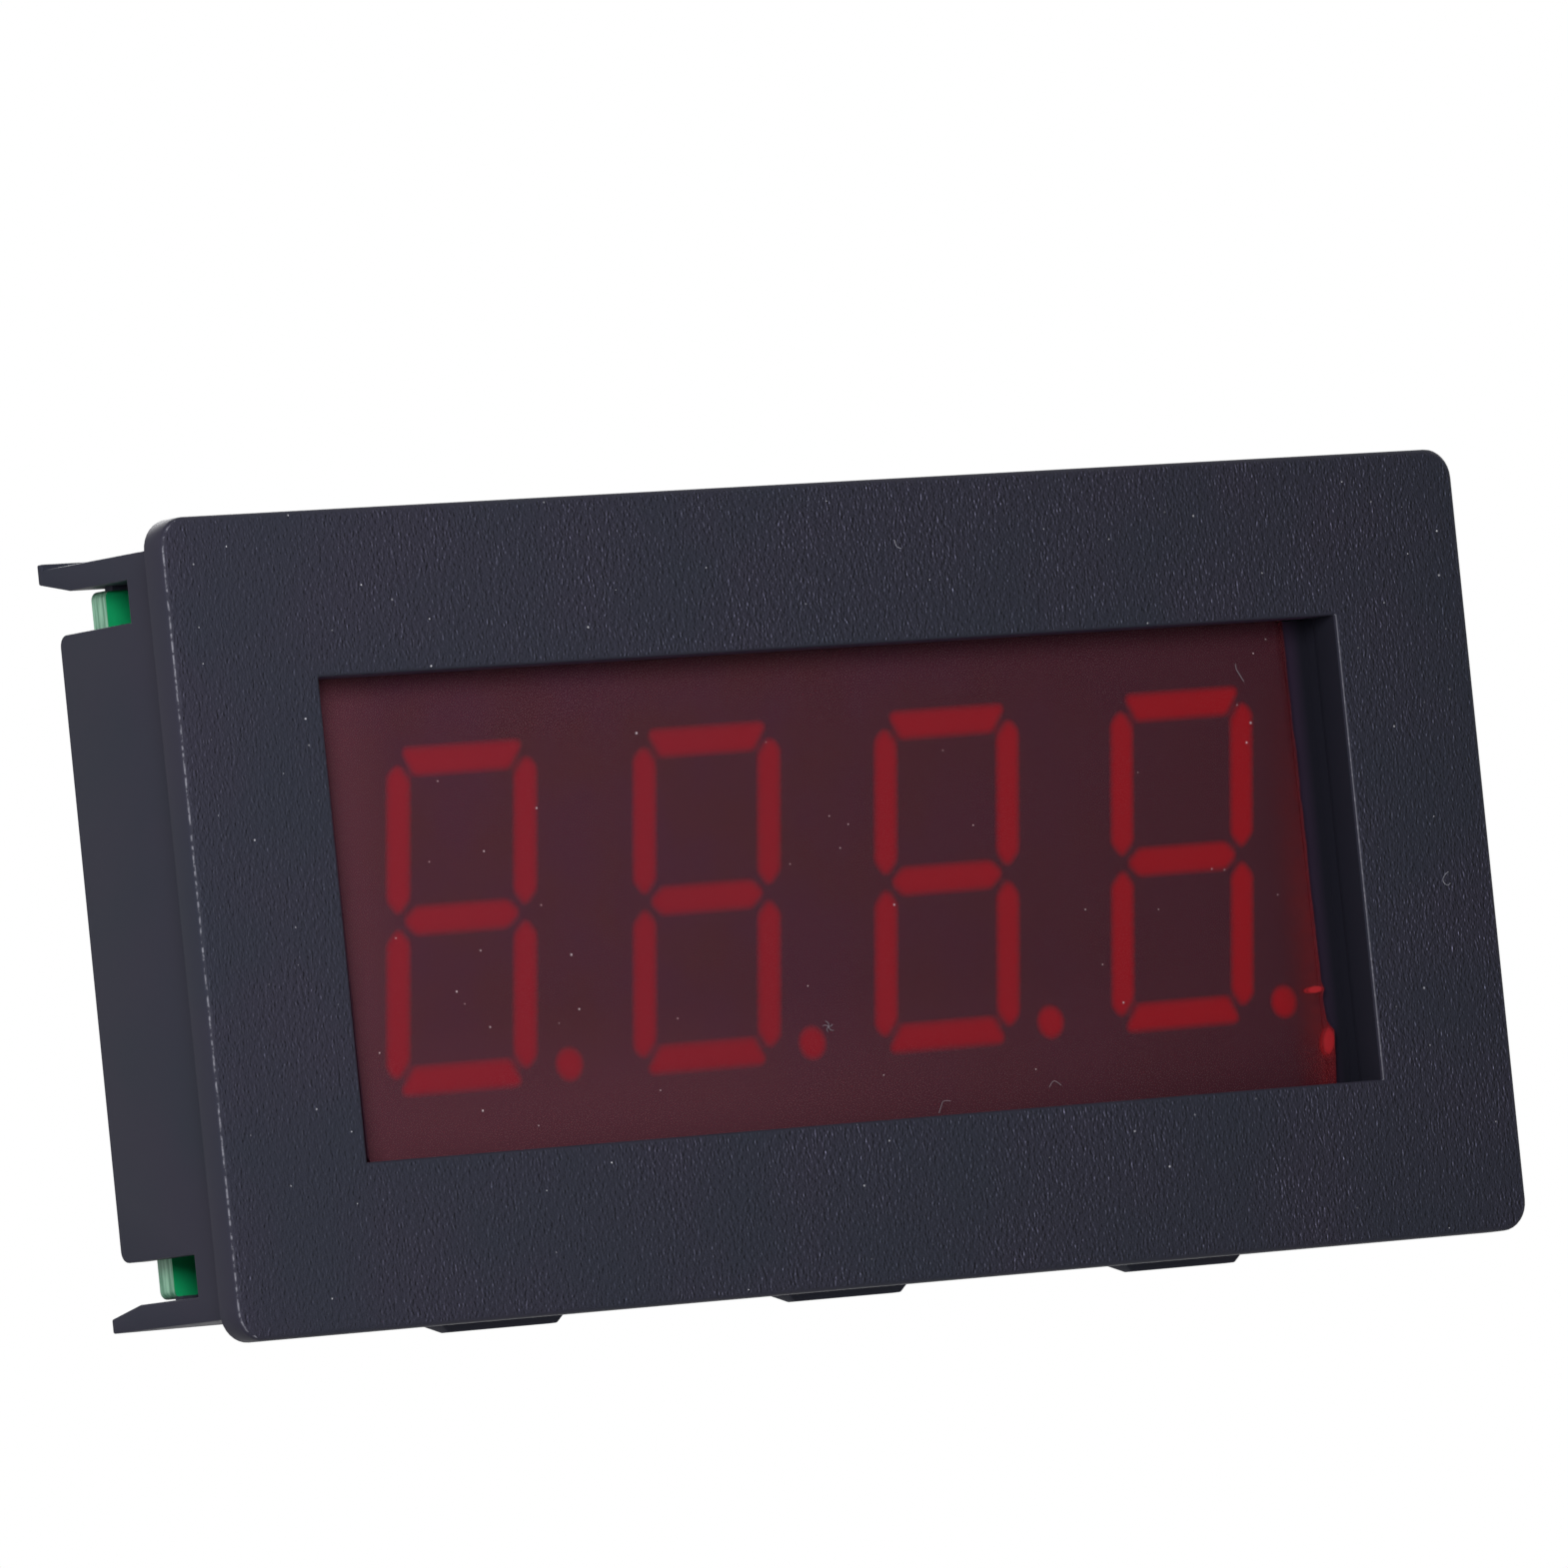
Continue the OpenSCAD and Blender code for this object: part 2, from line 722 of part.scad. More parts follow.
// Square pins, rounded off to fit the holes of the board on its other side
module header_pins(count) {
    for (k = [0 : count - 1]) translate([0, (k - (count - 1) / 2) * header_pitch, 0]) {
        centred_box(header_pin_w, header_pin_w, 0, header_pin_l);
        translate([0, 0, -board_t - header_pin_tail])
            cylinder(h = board_t + header_pin_tail, d = header_pin_w, $fn = 16);
    }
}

module signal_header_base() {
    color("#1b1b1e") on_rear(header_x, 0) header_base(signal_pins);
}

module signal_header_pins() {
    color("#d0b060") on_rear(header_x, 0) header_pins(signal_pins);
}

// The power header has a latch wall along its outer side
module power_header_base() {
    color("#e8e6dc") on_rear(-header_x, 0) {
        header_base(power_pins);
        translate([-(header_pitch + latch_t) / 2, 0, 0])
            centred_box(latch_t, power_pins * header_pitch, 0, latch_h);
    }
}

module power_header_pins() {
    color("#c8cacc") on_rear(-header_x, 0) header_pins(power_pins);
}

// Solder joints of both headers, on the front of the board
module header_solder() {
    flip = board_front + board_rear;
    color("#b9bcc0") translate([0, flip, 0]) mirror([0, 1, 0])
        at_header_pins() solder_cone(header_pin_w / 2 + solder_gap);
}

module digit_1_housing() { digit_housing(0); }
module digit_2_housing() { digit_housing(1); }
module digit_3_housing() { digit_housing(2); }
module digit_4_housing() { digit_housing(3); }
module digit_1_segments() { digit_segments(0); }
module digit_2_segments() { digit_segments(1); }
module digit_3_segments() { digit_segments(2); }
module digit_4_segments() { digit_segments(3); }
module digit_1_substrate() { digit_substrate(0); }
module digit_2_substrate() { digit_substrate(1); }
module digit_3_substrate() { digit_substrate(2); }
module digit_4_substrate() { digit_substrate(3); }
module digit_1_pins() { digit_pins(0); }
module digit_2_pins() { digit_pins(1); }
module digit_3_pins() { digit_pins(2); }
module digit_4_pins() { digit_pins(3); }

case();
red_film();
digit_1_housing();
digit_2_housing();
digit_3_housing();
digit_4_housing();
digit_1_segments();
digit_2_segments();
digit_3_segments();
digit_4_segments();
digit_1_substrate();
digit_2_substrate();
digit_3_substrate();
digit_4_substrate();
digit_1_pins();
digit_2_pins();
digit_3_pins();
digit_4_pins();
led_dice();
main_board();
display_solder();
board_screws();
controller_chip();
controller_legs();
driver_chip();
driver_legs();
regulator_body();
regulator_legs();
diode();
crystal();
capacitor_bases();
capacitor_cans();
ceramic_capacitors();
resistors();
transistor_bodies();
transistor_legs();
signal_header_base();
signal_header_pins();
power_header_base();
power_header_pins();
header_solder();
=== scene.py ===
import math
import random

import bmesh
import bpy
from mathutils import Matrix, Vector
from mathutils.bvhtree import BVHTree


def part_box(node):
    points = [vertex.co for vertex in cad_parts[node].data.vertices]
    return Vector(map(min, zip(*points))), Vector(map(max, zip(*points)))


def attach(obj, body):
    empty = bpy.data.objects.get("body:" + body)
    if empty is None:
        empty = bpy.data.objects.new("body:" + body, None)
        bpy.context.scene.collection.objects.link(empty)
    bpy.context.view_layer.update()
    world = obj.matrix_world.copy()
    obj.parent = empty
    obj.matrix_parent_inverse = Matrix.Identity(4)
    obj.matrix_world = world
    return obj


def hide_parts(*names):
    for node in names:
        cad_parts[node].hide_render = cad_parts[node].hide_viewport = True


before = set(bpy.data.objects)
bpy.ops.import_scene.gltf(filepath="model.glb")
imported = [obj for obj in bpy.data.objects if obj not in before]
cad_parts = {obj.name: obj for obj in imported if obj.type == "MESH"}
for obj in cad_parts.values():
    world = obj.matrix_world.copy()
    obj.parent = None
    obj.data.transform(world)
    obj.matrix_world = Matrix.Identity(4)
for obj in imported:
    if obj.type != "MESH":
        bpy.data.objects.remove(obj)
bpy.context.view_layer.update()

mm = 0.001

# Camera: a long lens about a metre away, on the left of the module and a little below it, so the
# view shows the bezel and the left side of the case. It is turned slightly about its own axis.
camera_data = bpy.data.cameras.new("camera")
camera_data.sensor_width = 36
camera_data.lens = 399.93
camera_data.clip_end = 20
camera = bpy.data.objects.new("camera", camera_data)
camera.location = (-620.52 * mm, -830.78 * mm, -41.5 * mm)
camera.rotation_euler = [math.radians(turn) for turn in (92.657, 5.787, -36.329)]
bpy.context.scene.collection.objects.link(camera)
bpy.context.scene.camera = camera
bpy.context.scene.view_settings.view_transform = "Standard"


# Studio: a pale floor below the module and a white surround that lights it faintly. A small near
# lamp at the left of the front gives the bezel its light, and large ones stand at both sides and
# behind.
def linear(code):
    """Turns an sRGB hex colour into the linear colour that a shader socket takes."""
    parts = [int(code[k:k + 2], 16) / 255 for k in (1, 3, 5)]
    return [p / 12.92 if p <= 0.04045 else ((p + 0.055) / 1.055) ** 2.4 for p in parts] + [1]


def add(tree, kind, *values, out=None, **named):
    """Adds a node with its properties, named in lower case, and gives one of its outputs. Values,
    hex colours and links go to its open sockets in order, or by their capitalised names. A
    MapRange so takes a value, the two ends of its range and then the two ends it maps them to."""
    node = tree.nodes.new("ShaderNode" + kind)
    for name in filter(str.islower, named):
        setattr(node, name, named[name])
    given = list(zip([socket for socket in node.inputs if socket.enabled], values))
    given += [(node.inputs[name.replace("_", " ")], value)
              for name, value in named.items() if not name.islower()]
    for socket, value in given:
        if isinstance(value, bpy.types.NodeSocket):
            tree.links.new(value, socket)
        else:
            socket.default_value = linear(value) if isinstance(value, str) else value
    if out:
        return node.outputs[out]
    return next((socket for socket in node.outputs if socket.enabled), node)


def seen_rays(tree):
    """Gives 1 for rays that show a thing to the camera, directly, mirrored or through the film."""
    rays = add(tree, "LightPath").node.outputs
    seen = rays["Is Camera Ray"]
    for name in ("Is Glossy Ray", "Is Transmission Ray"):
        seen = add(tree, "Math", seen, rays[name], operation="MAXIMUM")
    return seen


surround_light = 0.12
world = bpy.data.worlds.new("surround")
world.use_nodes = True
tree = world.node_tree
tree.nodes.clear()
light = add(tree, "Background", "#ffffff", surround_light)
white = add(tree, "Background", "#ffffff", 1)
both = add(tree, "MixShader", seen_rays(tree), light, white)
add(tree, "OutputWorld", both)
bpy.context.scene.world = world

floor_z = -70
floor_lift = 0.48
bpy.ops.mesh.primitive_circle_add(vertices=64, radius=1.6, fill_type="NGON",
                                  location=(0, 0, floor_z * mm))
floor = bpy.context.object
floor.name = "floor"
card = bpy.data.materials.new("matt white card")
card.use_nodes = True
tree = card.node_tree
shader = tree.nodes["Principled BSDF"]
shader.inputs["Base Color"].default_value = linear("#c2c2c0")
shader.inputs["Roughness"].default_value = 0.8
clear = add(tree, "BsdfTransparent")
under = add(tree, "NewGeometry", out="Backfacing")
lift = add(tree, "Math", seen_rays(tree), floor_lift, operation="MULTIPLY")
tree.links.new(lift, shader.inputs["Emission Strength"])
shader.inputs["Emission Color"].default_value = (1, 1, 1, 1)
both = add(tree, "MixShader", under, shader.outputs[0], clear)
tree.links.new(both, tree.nodes["Material Output"].inputs["Surface"])
floor.data.materials.append(card)


def soft_box(name, place, size, watts):
    """A round lamp that looks at the module."""
    lamp = bpy.data.lights.new(name, "AREA")
    lamp.shape = "DISK"
    lamp.size = size
    lamp.energy = watts
    holder = bpy.data.objects.new(name, lamp)
    holder.location = place
    holder.rotation_euler = Vector(place).to_track_quat("Z", "Y").to_euler()
    bpy.context.scene.collection.objects.link(holder)


soft_box("key box", (-0.19, -0.2, 0.07), 0.12, 0.68)
soft_box("left box", (-0.8, 0.45, 0.3), 0.5, 1.4)
soft_box("right box", (0.85, 0.15, 0.4), 0.5, 1.9)
soft_box("rear box", (0.3, 0.8, 0.45), 0.5, 4.4)


# Case: one moulding of black ABS. A flat bezel plate with a window carries the side walls and
# the longer top and bottom walls behind it. Snap ribs stand on those, and four bosses inside
# take the screws of the board.
def pick(*pieces):
    """Selects pieces, with the first one active, and gives that one."""
    bpy.ops.object.select_all(action="DESELECT")
    for piece in pieces:
        piece.select_set(True)
    bpy.context.view_layer.objects.active = pieces[0]
    return pieces[0]


def open_mesh(piece):
    """Opens a piece in edit mode, alone, with all of it selected."""
    pick(piece)
    bpy.ops.object.mode_set(mode="EDIT")
    bpy.ops.mesh.select_all(action="SELECT")


def close_mesh():
    """Goes back to object mode."""
    bpy.ops.object.mode_set(mode="OBJECT")


def select(piece, kind, test):
    """Selects the vertices, edges or faces that pass a test on their middle and direction."""
    bpy.ops.mesh.select_mode(type=kind)
    bpy.ops.mesh.select_all(action="DESELECT")
    shape = bmesh.from_edit_mesh(piece.data)
    if kind == "FACE":
        for face in shape.faces:
            face.select = test(face.calc_center_median() / mm, face.normal)
    elif kind == "EDGE":
        for edge in shape.edges:
            a, b = [vertex.co / mm for vertex in edge.verts]
            edge.select = test((a + b) / 2, (b - a).normalized())
    else:
        for vertex in shape.verts:
            vertex.select = test(vertex.co / mm)
    shape.select_flush_mode()
    bmesh.update_edit_mesh(piece.data)


def slice_mesh(axis, place):
    """Cuts the whole open mesh with a plane across an axis, at a place in millimetres."""
    normal = [float(k == axis) for k in range(3)]
    bpy.ops.mesh.select_all(action="SELECT")
    bpy.ops.mesh.bisect(plane_co=[n * place * mm for n in normal], plane_no=normal)


def extrude(x, y, z):
    """Extrudes what is selected by a distance in millimetres."""
    bpy.ops.mesh.extrude_region_move(TRANSFORM_OT_translate={"value": (x * mm, y * mm, z * mm)})


def shift(x, y, z):
    """Moves what is selected by a distance in millimetres."""
    bpy.ops.transform.translate(value=(x * mm, y * mm, z * mm))


def bevel(width, segments=1):
    """Rounds the edges that are selected by a width in millimetres."""
    bpy.ops.mesh.bevel(offset=width * mm, segments=segments, affect="EDGES")


def settled(name):
    """Names the piece that was just added and moves its place and size into its mesh."""
    piece = pick(bpy.context.object)
    piece.name = name
    bpy.ops.object.transform_apply(location=True, rotation=True, scale=True)
    return piece


def block(name, low, high):
    """Adds a box between two corners, given in millimetres."""
    bpy.ops.mesh.primitive_cube_add(
        size=1, location=[(a + b) / 2 * mm for a, b in zip(low, high)],
        scale=[(b - a) * mm for a, b in zip(low, high)])
    return settled(name)


def disc(name, x, z, y0, y1, radius, vertices=32):
    """Adds a cylinder along the depth, in millimetres."""
    bpy.ops.mesh.primitive_cylinder_add(
        vertices=vertices, radius=radius * mm, depth=(y1 - y0) * mm,
        location=(x * mm, (y0 + y1) / 2 * mm, z * mm), rotation=(-math.pi / 2, 0, 0))
    return settled(name)


def soften(piece, width):
    """Rounds the sharp edges of a piece by a width in millimetres and shades it smooth."""
    pick(piece)
    if width:
        rounding = piece.modifiers.new("rounding", "BEVEL")
        rounding.width = width * mm
        rounding.segments = 2
        rounding.limit_method = "ANGLE"
        rounding.angle_limit = math.radians(35)
        bpy.ops.object.modifier_apply(modifier=rounding.name)
    bpy.ops.object.shade_smooth_by_angle(angle=math.radians(40))


def joined(name, parts):
    """Joins pieces in one object and names it."""
    whole = pick(*parts)
    bpy.ops.object.join()
    whole.name = name
    return whole


def copies(name, piece, places):
    """Copies a piece to each place, given in millimetres, and joins the copies in one object."""
    parts = []
    for place in places:
        part = bpy.data.objects.new(name, piece.data.copy())
        part.data.transform(Matrix.Translation(Vector(place) * mm))
        bpy.context.scene.collection.objects.link(part)
        parts.append(part)
    bpy.data.objects.remove(piece)
    return joined(name, parts)


def combine(piece, other, operation):
    """Unites a piece with another, or cuts the other out of it, and removes the other."""
    change = piece.modifiers.new("change", "BOOLEAN")
    change.operation = operation
    change.solver = "EXACT"
    change.object = other
    pick(piece)
    bpy.ops.object.modifier_apply(modifier=change.name)
    bpy.data.objects.remove(other)


def span(node):
    """Gives the lowest and the highest corner of a CAD node, in millimetres."""
    return [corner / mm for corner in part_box(node)]


def fit(piece, material, slot, *nodes):
    """Gives a piece its material, its body and the CAD nodes that it stands for. The slot is not
    used.
    """
    piece.data.materials.clear()
    piece.data.materials.append(material)
    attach(piece, "root")
    if nodes:
        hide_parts(*nodes)


def new_material(name, roughness, metallic=0.0, specular=0.5):
    """Starts a material. Gives it, its tree, its shader's inputs and the Object coordinates."""
    material = bpy.data.materials.new(name)
    material.use_nodes = True
    tree = material.node_tree
    inputs = tree.nodes["Principled BSDF"].inputs
    inputs["Roughness"].default_value = roughness
    inputs["Metallic"].default_value = metallic
    inputs["Specular IOR Level"].default_value = specular
    return material, tree, inputs, add(tree, "TexCoord", out="Object")


case_low, case_high = span("case")
half_w, half_h = case_high.x, 24
front, tongue_end = case_low.y, case_high.y
corner_r, front_r, back_r, window_r, slot_r = 1.8, 0.4, 0.15, 0.22, 0.7
body_x, body_z = 45.9, 22.5
inner_x, inner_z = 44.4, 21.0
window_x, window_z = 37.8, 14.2
front_wall_rear = 0.4
slot_start = 5.0
slot_z = 18.5
side_end = 12.5
tongue_bevel = 11.0
tongue_tip = 21.65
lip_start = tongue_end - 0.5
lip_rise = 0.35

case = block("case_shell", (-half_w, front, -half_h), (half_w, 0, half_h))
open_mesh(case)
select(case, "EDGE", lambda c, d: abs(d.y) > 0.9)
bevel(corner_r, 8)
select(case, "EDGE", lambda c, d: abs(c.y - front) < 0.01)
bevel(front_r, 5)
select(case, "EDGE", lambda c, d: abs(c.y) < 0.01)
bevel(back_r, 2)
for side in (-1, 1):
    for x in (body_x, inner_x, window_x):
        slice_mesh(0, side * x)
    for z in (body_z, inner_z, slot_z, window_z):
        slice_mesh(2, side * z)
select(case, "FACE", lambda c, n: abs(c.x) < window_x and abs(c.z) < window_z)
bpy.ops.mesh.bridge_edge_loops()
select(case, "FACE", lambda c, n: n.y > 0.9 and abs(c.x) < body_x and abs(c.z) < body_z)
extrude(0, front_wall_rear, 0)
select(case, "FACE", lambda c, n: n.y > 0.9 and c.y > 0.1
       and (abs(c.x) > inner_x or abs(c.z) > inner_z))
extrude(0, slot_start - front_wall_rear, 0)
select(case, "FACE", lambda c, n: n.y > 0.9 and c.y > 1 and abs(c.z) < slot_z)
extrude(0, side_end - slot_start, 0)
select(case, "EDGE", lambda c, d: abs(c.y - side_end) < 0.01 and abs(abs(c.z) - slot_z) < 0.01)
bevel(slot_r, 5)
select(case, "FACE", lambda c, n: n.y > 0.9 and c.y > 1 and abs(c.z) > inner_z)
extrude(0, tongue_bevel - slot_start, 0)
inner_edge = inner_z
for y, z in ((lip_start, inner_z + (tongue_tip - inner_z) * (lip_start - tongue_bevel)
              / (tongue_end - tongue_bevel)), (tongue_end, tongue_tip)):
    select(case, "FACE", lambda c, n: n.y > 0.9 and c.y > tongue_bevel - 0.1
           and abs(c.z) > inner_z)
    now = tongue_bevel if y == lip_start else lip_start
    extrude(0, y - now, 0)
    for side in (-1, 1):
        select(case, "VERT", lambda p: abs(p.y - y) < 0.01 and abs(p.z - side * inner_edge) < 0.01)
        shift(0, 0, side * (z - inner_edge))
    inner_edge = z
select(case, "FACE", lambda c, n: n.z > 0.9 and c.y > lip_start and c.z > body_z - 0.01)
extrude(0, 0, lip_rise)
select(case, "EDGE", lambda c, d: abs(c.y - front) < 0.01
       and max(abs(c.x) - window_x, abs(c.z) - window_z) < 0.01
       and min(abs(abs(c.x) - window_x), abs(abs(c.z) - window_z)) < 0.01)
bevel(window_r, 3)
close_mesh()
soften(case, 0.1)

rib_half, rib_start, rib_end = 4.45, 3.2, 9.0
rib_root, rib_top = 22.3, 24.35
rib_bevel, rib_pitch = 0.5, 25.4
ribs = []
for side in (-1, 1):
    rib = block("rib", (-rib_half, rib_start, rib_root), (rib_half, rib_end, rib_top))
    open_mesh(rib)
    select(rib, "VERT", lambda p: p.z > rib_root + 1 and p.y < 5)
    shift(0, 0.4, 0)
    select(rib, "VERT", lambda p: p.z > rib_root + 1 and p.y > 5)
    shift(0, -4.6, 0)
    for end in (-1, 1):
        bpy.ops.mesh.select_all(action="SELECT")
        bpy.ops.mesh.bisect(plane_co=(end * rib_half * mm, 0, (rib_top - rib_bevel) * mm),
                            plane_no=(end, 0, 1), clear_outer=True, use_fill=True)
    close_mesh()
    if side < 0:
        rib.data.transform(Matrix.Rotation(math.pi, 4, "X"))
        rib.data.transform(Matrix.Scale(-1, 4, (0, 1, 0)))
        rib.data.flip_normals()
    soften(rib, 0.08)
    ribs.append(copies("ribs", rib, [(k * rib_pitch, 0, 0) for k in (-1, 0, 1)]))
boss_x, boss_z, boss_end = 40.1, 17.4, 9.7
boss_r, bore_r, bore_depth = 2.4, 1.12, 7
boss = disc("boss", 0, 0, 0.3, boss_end, boss_r)
open_mesh(boss)
select(boss, "FACE", lambda c, n: n.y > 0.9)
bpy.ops.mesh.inset(thickness=(boss_r - bore_r) * mm)
extrude(0, -bore_depth, 0)
close_mesh()
soften(boss, 0.08)
bosses = copies("bosses", boss, [(x, 0, z) for x in (-boss_x, boss_x) for z in (-boss_z, boss_z)])

# Ledges close the sides of the window behind the film, and stops hold the board from the front.
ledge_tip, ledge_root = 36.05, 39.0
for side in (-1, 1):
    for tip, start in ((ledge_tip, 1.2), (window_x + 0.02, 0.2)):
        ends = sorted((side * tip, side * ledge_root))
        ledge = block("ledge", (ends[0], start, -window_z), (ends[1], 2.4, window_z))
        combine(case, ledge, "UNION")
stop_h, stop_y = 0.26, 9.62
for side in (-1, 1):
    ends = sorted((side * (inner_z + 0.2), side * (inner_z - stop_h)))
    stop = block("board_stop", (0.1 - inner_x, stop_y - 0.8, ends[0]),
                 (inner_x - 0.1, stop_y, ends[1]))
    combine(case, stop, "UNION")
combine(case, joined("ribs", ribs + [bosses]), "UNION")
soften(case, 0)

# Black ABS, moulded: an eroded mould leaves a fine grain on the front and smooth sides. The
# grain's flanks carry painted light and shade, stronger towards the middle. The walls in the
# window are painted darker as painted shade, with a painted red glow beside the film. Dust lies on
# the front, and the rounded edges that face left carry a broken pale line: scuffs with a painted
# highlight.
abs_black, tree, inputs, place = new_material("moulded black ABS", 0.5, specular=0.05)
facing = add(tree, "NewGeometry", out="Normal")
directions = add(tree, "SeparateXYZ", facing).node.outputs
depths = add(tree, "SeparateXYZ", place).node.outputs
front_face = add(tree, "MapRange", directions["Y"], -0.8, -0.98)
on_bezel = add(tree, "Math", depths["Y"], -1 * mm, operation="LESS_THAN")
front_face = add(tree, "Math", front_face, on_bezel, operation="MULTIPLY")
grain_w, grain_h, grain_depth = 0.15, 0.32, 0.04
stretched = add(tree, "Mapping", place, Scale=(1, 1, grain_w / grain_h))
grain = add(tree, "TexNoise", stretched, Scale=1 / (grain_w * mm), Detail=1)
beside = add(tree, "VectorMath", stretched, (grain_w / 2 * mm, 0, 0), operation="ADD")
beside = add(tree, "TexNoise", beside, Scale=1 / (grain_w * mm), Detail=1)
# Painted light and shade: the tone is raised on one flank of each grain and lowered on the other,
# as if lit from one side, and more so towards the middle of the bezel.
slope = add(tree, "Math", beside, grain, operation="SUBTRACT")
grain_light_and_shade = slope
for factor in (slope, slope, front_face):
    grain_light_and_shade = add(tree, "Math", grain_light_and_shade, factor, operation="MULTIPLY")
bumps = add(tree, "MapRange", grain, 0.4, 0.7)
bumps = add(tree, "Math", bumps, front_face, operation="MULTIPLY")
fine = add(tree, "TexNoise", place, Scale=1 / (0.12 * mm), Detail=2)
fine = add(tree, "Math", fine, 0.06, operation="MULTIPLY")
height = add(tree, "Math", bumps, fine, operation="ADD")
relief = add(tree, "Bump", Height=height, Distance=grain_depth * mm)
tree.links.new(relief, inputs["Normal"])
patches = add(tree, "TexNoise", place, Scale=1 / (9 * mm), Detail=3)
tone = add(tree, "MapRange", patches, 0.35, 0.65)
tone = add(tree, "Mix", tone, "#2e303b", "#31303c", data_type="RGBA")
grain_light_share = add(tree, "MapRange", patches, 0.4, 0.6, 0.6, 1.2)
to_middle = add(tree, "MapRange", depths["X"], -44 * mm, 0, 30, 110)
grain_light_share = add(tree, "Math", grain_light_share, to_middle, operation="MULTIPLY")
grain_light_and_shade = add(tree, "Math", grain_light_and_shade, grain_light_share, 1, operation="MULTIPLY_ADD")
grain_light_and_shade = add(tree, "Math", grain_light_and_shade, 0.3, operation="MAXIMUM")
tone = add(tree, "VectorMath", tone, operation="SCALE", Scale=grain_light_and_shade)
# Painted shade: the walls in the window recess are painted darker, and a painted red glow from the
# film's cut edge lies on the ledge beside it.
wide = add(tree, "Math", depths["X"], 0, (window_x + 0.5) * mm, operation="COMPARE")
tall = add(tree, "Math", depths["Z"], 0, (window_z + 0.5) * mm, operation="COMPARE")
deep = add(tree, "Math", depths["Y"], -1.75 * mm, operation="GREATER_THAN")
inside = wide
for factor in (tall, deep):
    inside = add(tree, "Math", inside, factor, operation="MULTIPLY")
film_glow_spill = add(tree, "MapRange", depths["X"], 37.4 * mm, 36.3 * mm)
recess_shade_and_glow = add(tree, "Mix", film_glow_spill, "#1e1e27", "#33283a", data_type="RGBA")
tone = add(tree, "Mix", inside, tone, recess_shade_and_glow, data_type="RGBA")
speck_room = 2.3
spots = add(tree, "Mapping", place, Rotation=(math.pi / 2, 0, 0))
cells = add(tree, "TexVoronoi", spots, voronoi_dimensions="2D",
            Scale=1 / (speck_room * mm)).node.outputs
chance = add(tree, "SeparateColor", cells["Color"]).node.outputs
speck_r = add(tree, "MapRange", chance[1], To_Min=0.012, To_Max=0.03)
dot = add(tree, "Math", cells["Distance"], speck_r, operation="LESS_THAN")
chosen = add(tree, "Math", chance[0], 0.16, operation="LESS_THAN")
dust = dot
for factor in (chosen, front_face, chance[2]):
    dust = add(tree, "Math", dust, factor, operation="MULTIPLY")
dusty = add(tree, "Mix", dust, tone, "#c8c8d0", data_type="RGBA")
# Scuffs and painted highlight: a broken pale line on the rounded edges that face left, towards the
# key lamp.
tilt = add(tree, "Math", directions["Y"], 0.72, operation="ADD")
tilt = add(tree, "Math", tilt, operation="ABSOLUTE")
rim = add(tree, "MapRange", tilt, 0.13, 0.04)
leftward = add(tree, "Math", directions["X"], -0.25, operation="LESS_THAN")
rim = add(tree, "Math", rim, leftward, operation="MULTIPLY")
breaks = add(tree, "TexNoise", place, Scale=1 / (0.3 * mm), Detail=3)
breaks = add(tree, "MapRange", breaks, 0.42, 0.62)
at_window = add(tree, "MapRange", depths["X"], 0, 30 * mm, 0, 0.6)
scuff_and_highlight = add(tree, "Math", breaks, at_window, operation="MAXIMUM")
for factor in (rim, on_bezel, 0.5):
    scuff_and_highlight = add(tree, "Math", scuff_and_highlight, factor, operation="MULTIPLY")
worn_and_highlit = add(tree, "Mix", scuff_and_highlight, dusty, "#a0a0ac", data_type="RGBA")
tree.links.new(worn_and_highlit, inputs["Base Color"])
fit(case, abs_black, "black_abs", "case")


# Lint: a few short curled fibres and one tuft lie on the bezel and on the film, as on any matt
# black part that has been handled.
def wires(name, radius, y, paths, kind="POLY", closed=False):
    """Lays round wires through points given as X and Z, at a depth, all in millimetres."""
    line = bpy.data.curves.new(name, "CURVE")
    line.dimensions = "3D"
    line.bevel_depth = radius * mm
    line.bevel_resolution = 1
    line.resolution_u = 4
    line.use_fill_caps = not closed
    for path in paths:
        spline = line.splines.new(kind)
        spline.points.add(len(path) - 1)
        spline.use_cyclic_u = closed
        spline.order_u = 3
        spline.use_endpoint_u = True
        for point, (x, z) in zip(spline.points, path):
            point.co = (x * mm, y * mm, z * mm, 1)
    piece = bpy.data.objects.new(name, line)
    bpy.context.scene.collection.objects.link(piece)
    pick(piece)
    bpy.ops.object.convert(target="MESH")
    return bpy.context.object


film_front = 0.6
lint_r, film_lint_r = 0.024, 0.0168
bezel_paths = [[(44.45, -1.9), (44.1, -2.05), (43.9, -2.5), (44.35, -2.8), (44.5, -2.6)],
               [(4.9, 20.3), (4.95, 20.0), (5.1, 19.8), (5.35, 19.75)]]
film_paths = [[(5.85, -13.95), (6.1, -13.5), (6.25, -13.2), (6.8, -13.3)],
              [(14.3, -12.95), (14.55, -12.6), (14.85, -12.6), (15.2, -12.9)],
              [(31.72, 11.75), (31.7, 11.45), (31.96, 11.1), (32.22, 10.66)]]
tuft_x, tuft_z, tuft_r = -1.7, -8.3, 0.3
for turn in range(0, 360, 72):
    out_x, out_z = tuft_r * math.cos(math.radians(turn)), tuft_r * math.sin(math.radians(turn))
    film_paths.append([(tuft_x, tuft_z), (tuft_x + out_x, tuft_z + out_z),
                       (tuft_x + out_x - out_z, tuft_z + out_z + out_x / 2)])
fibres = joined("lint", [
    wires("fibre", lint_r, front - lint_r, bezel_paths, "NURBS"),
    wires("fibre", film_lint_r, film_front - lint_r, film_paths, "NURBS")])
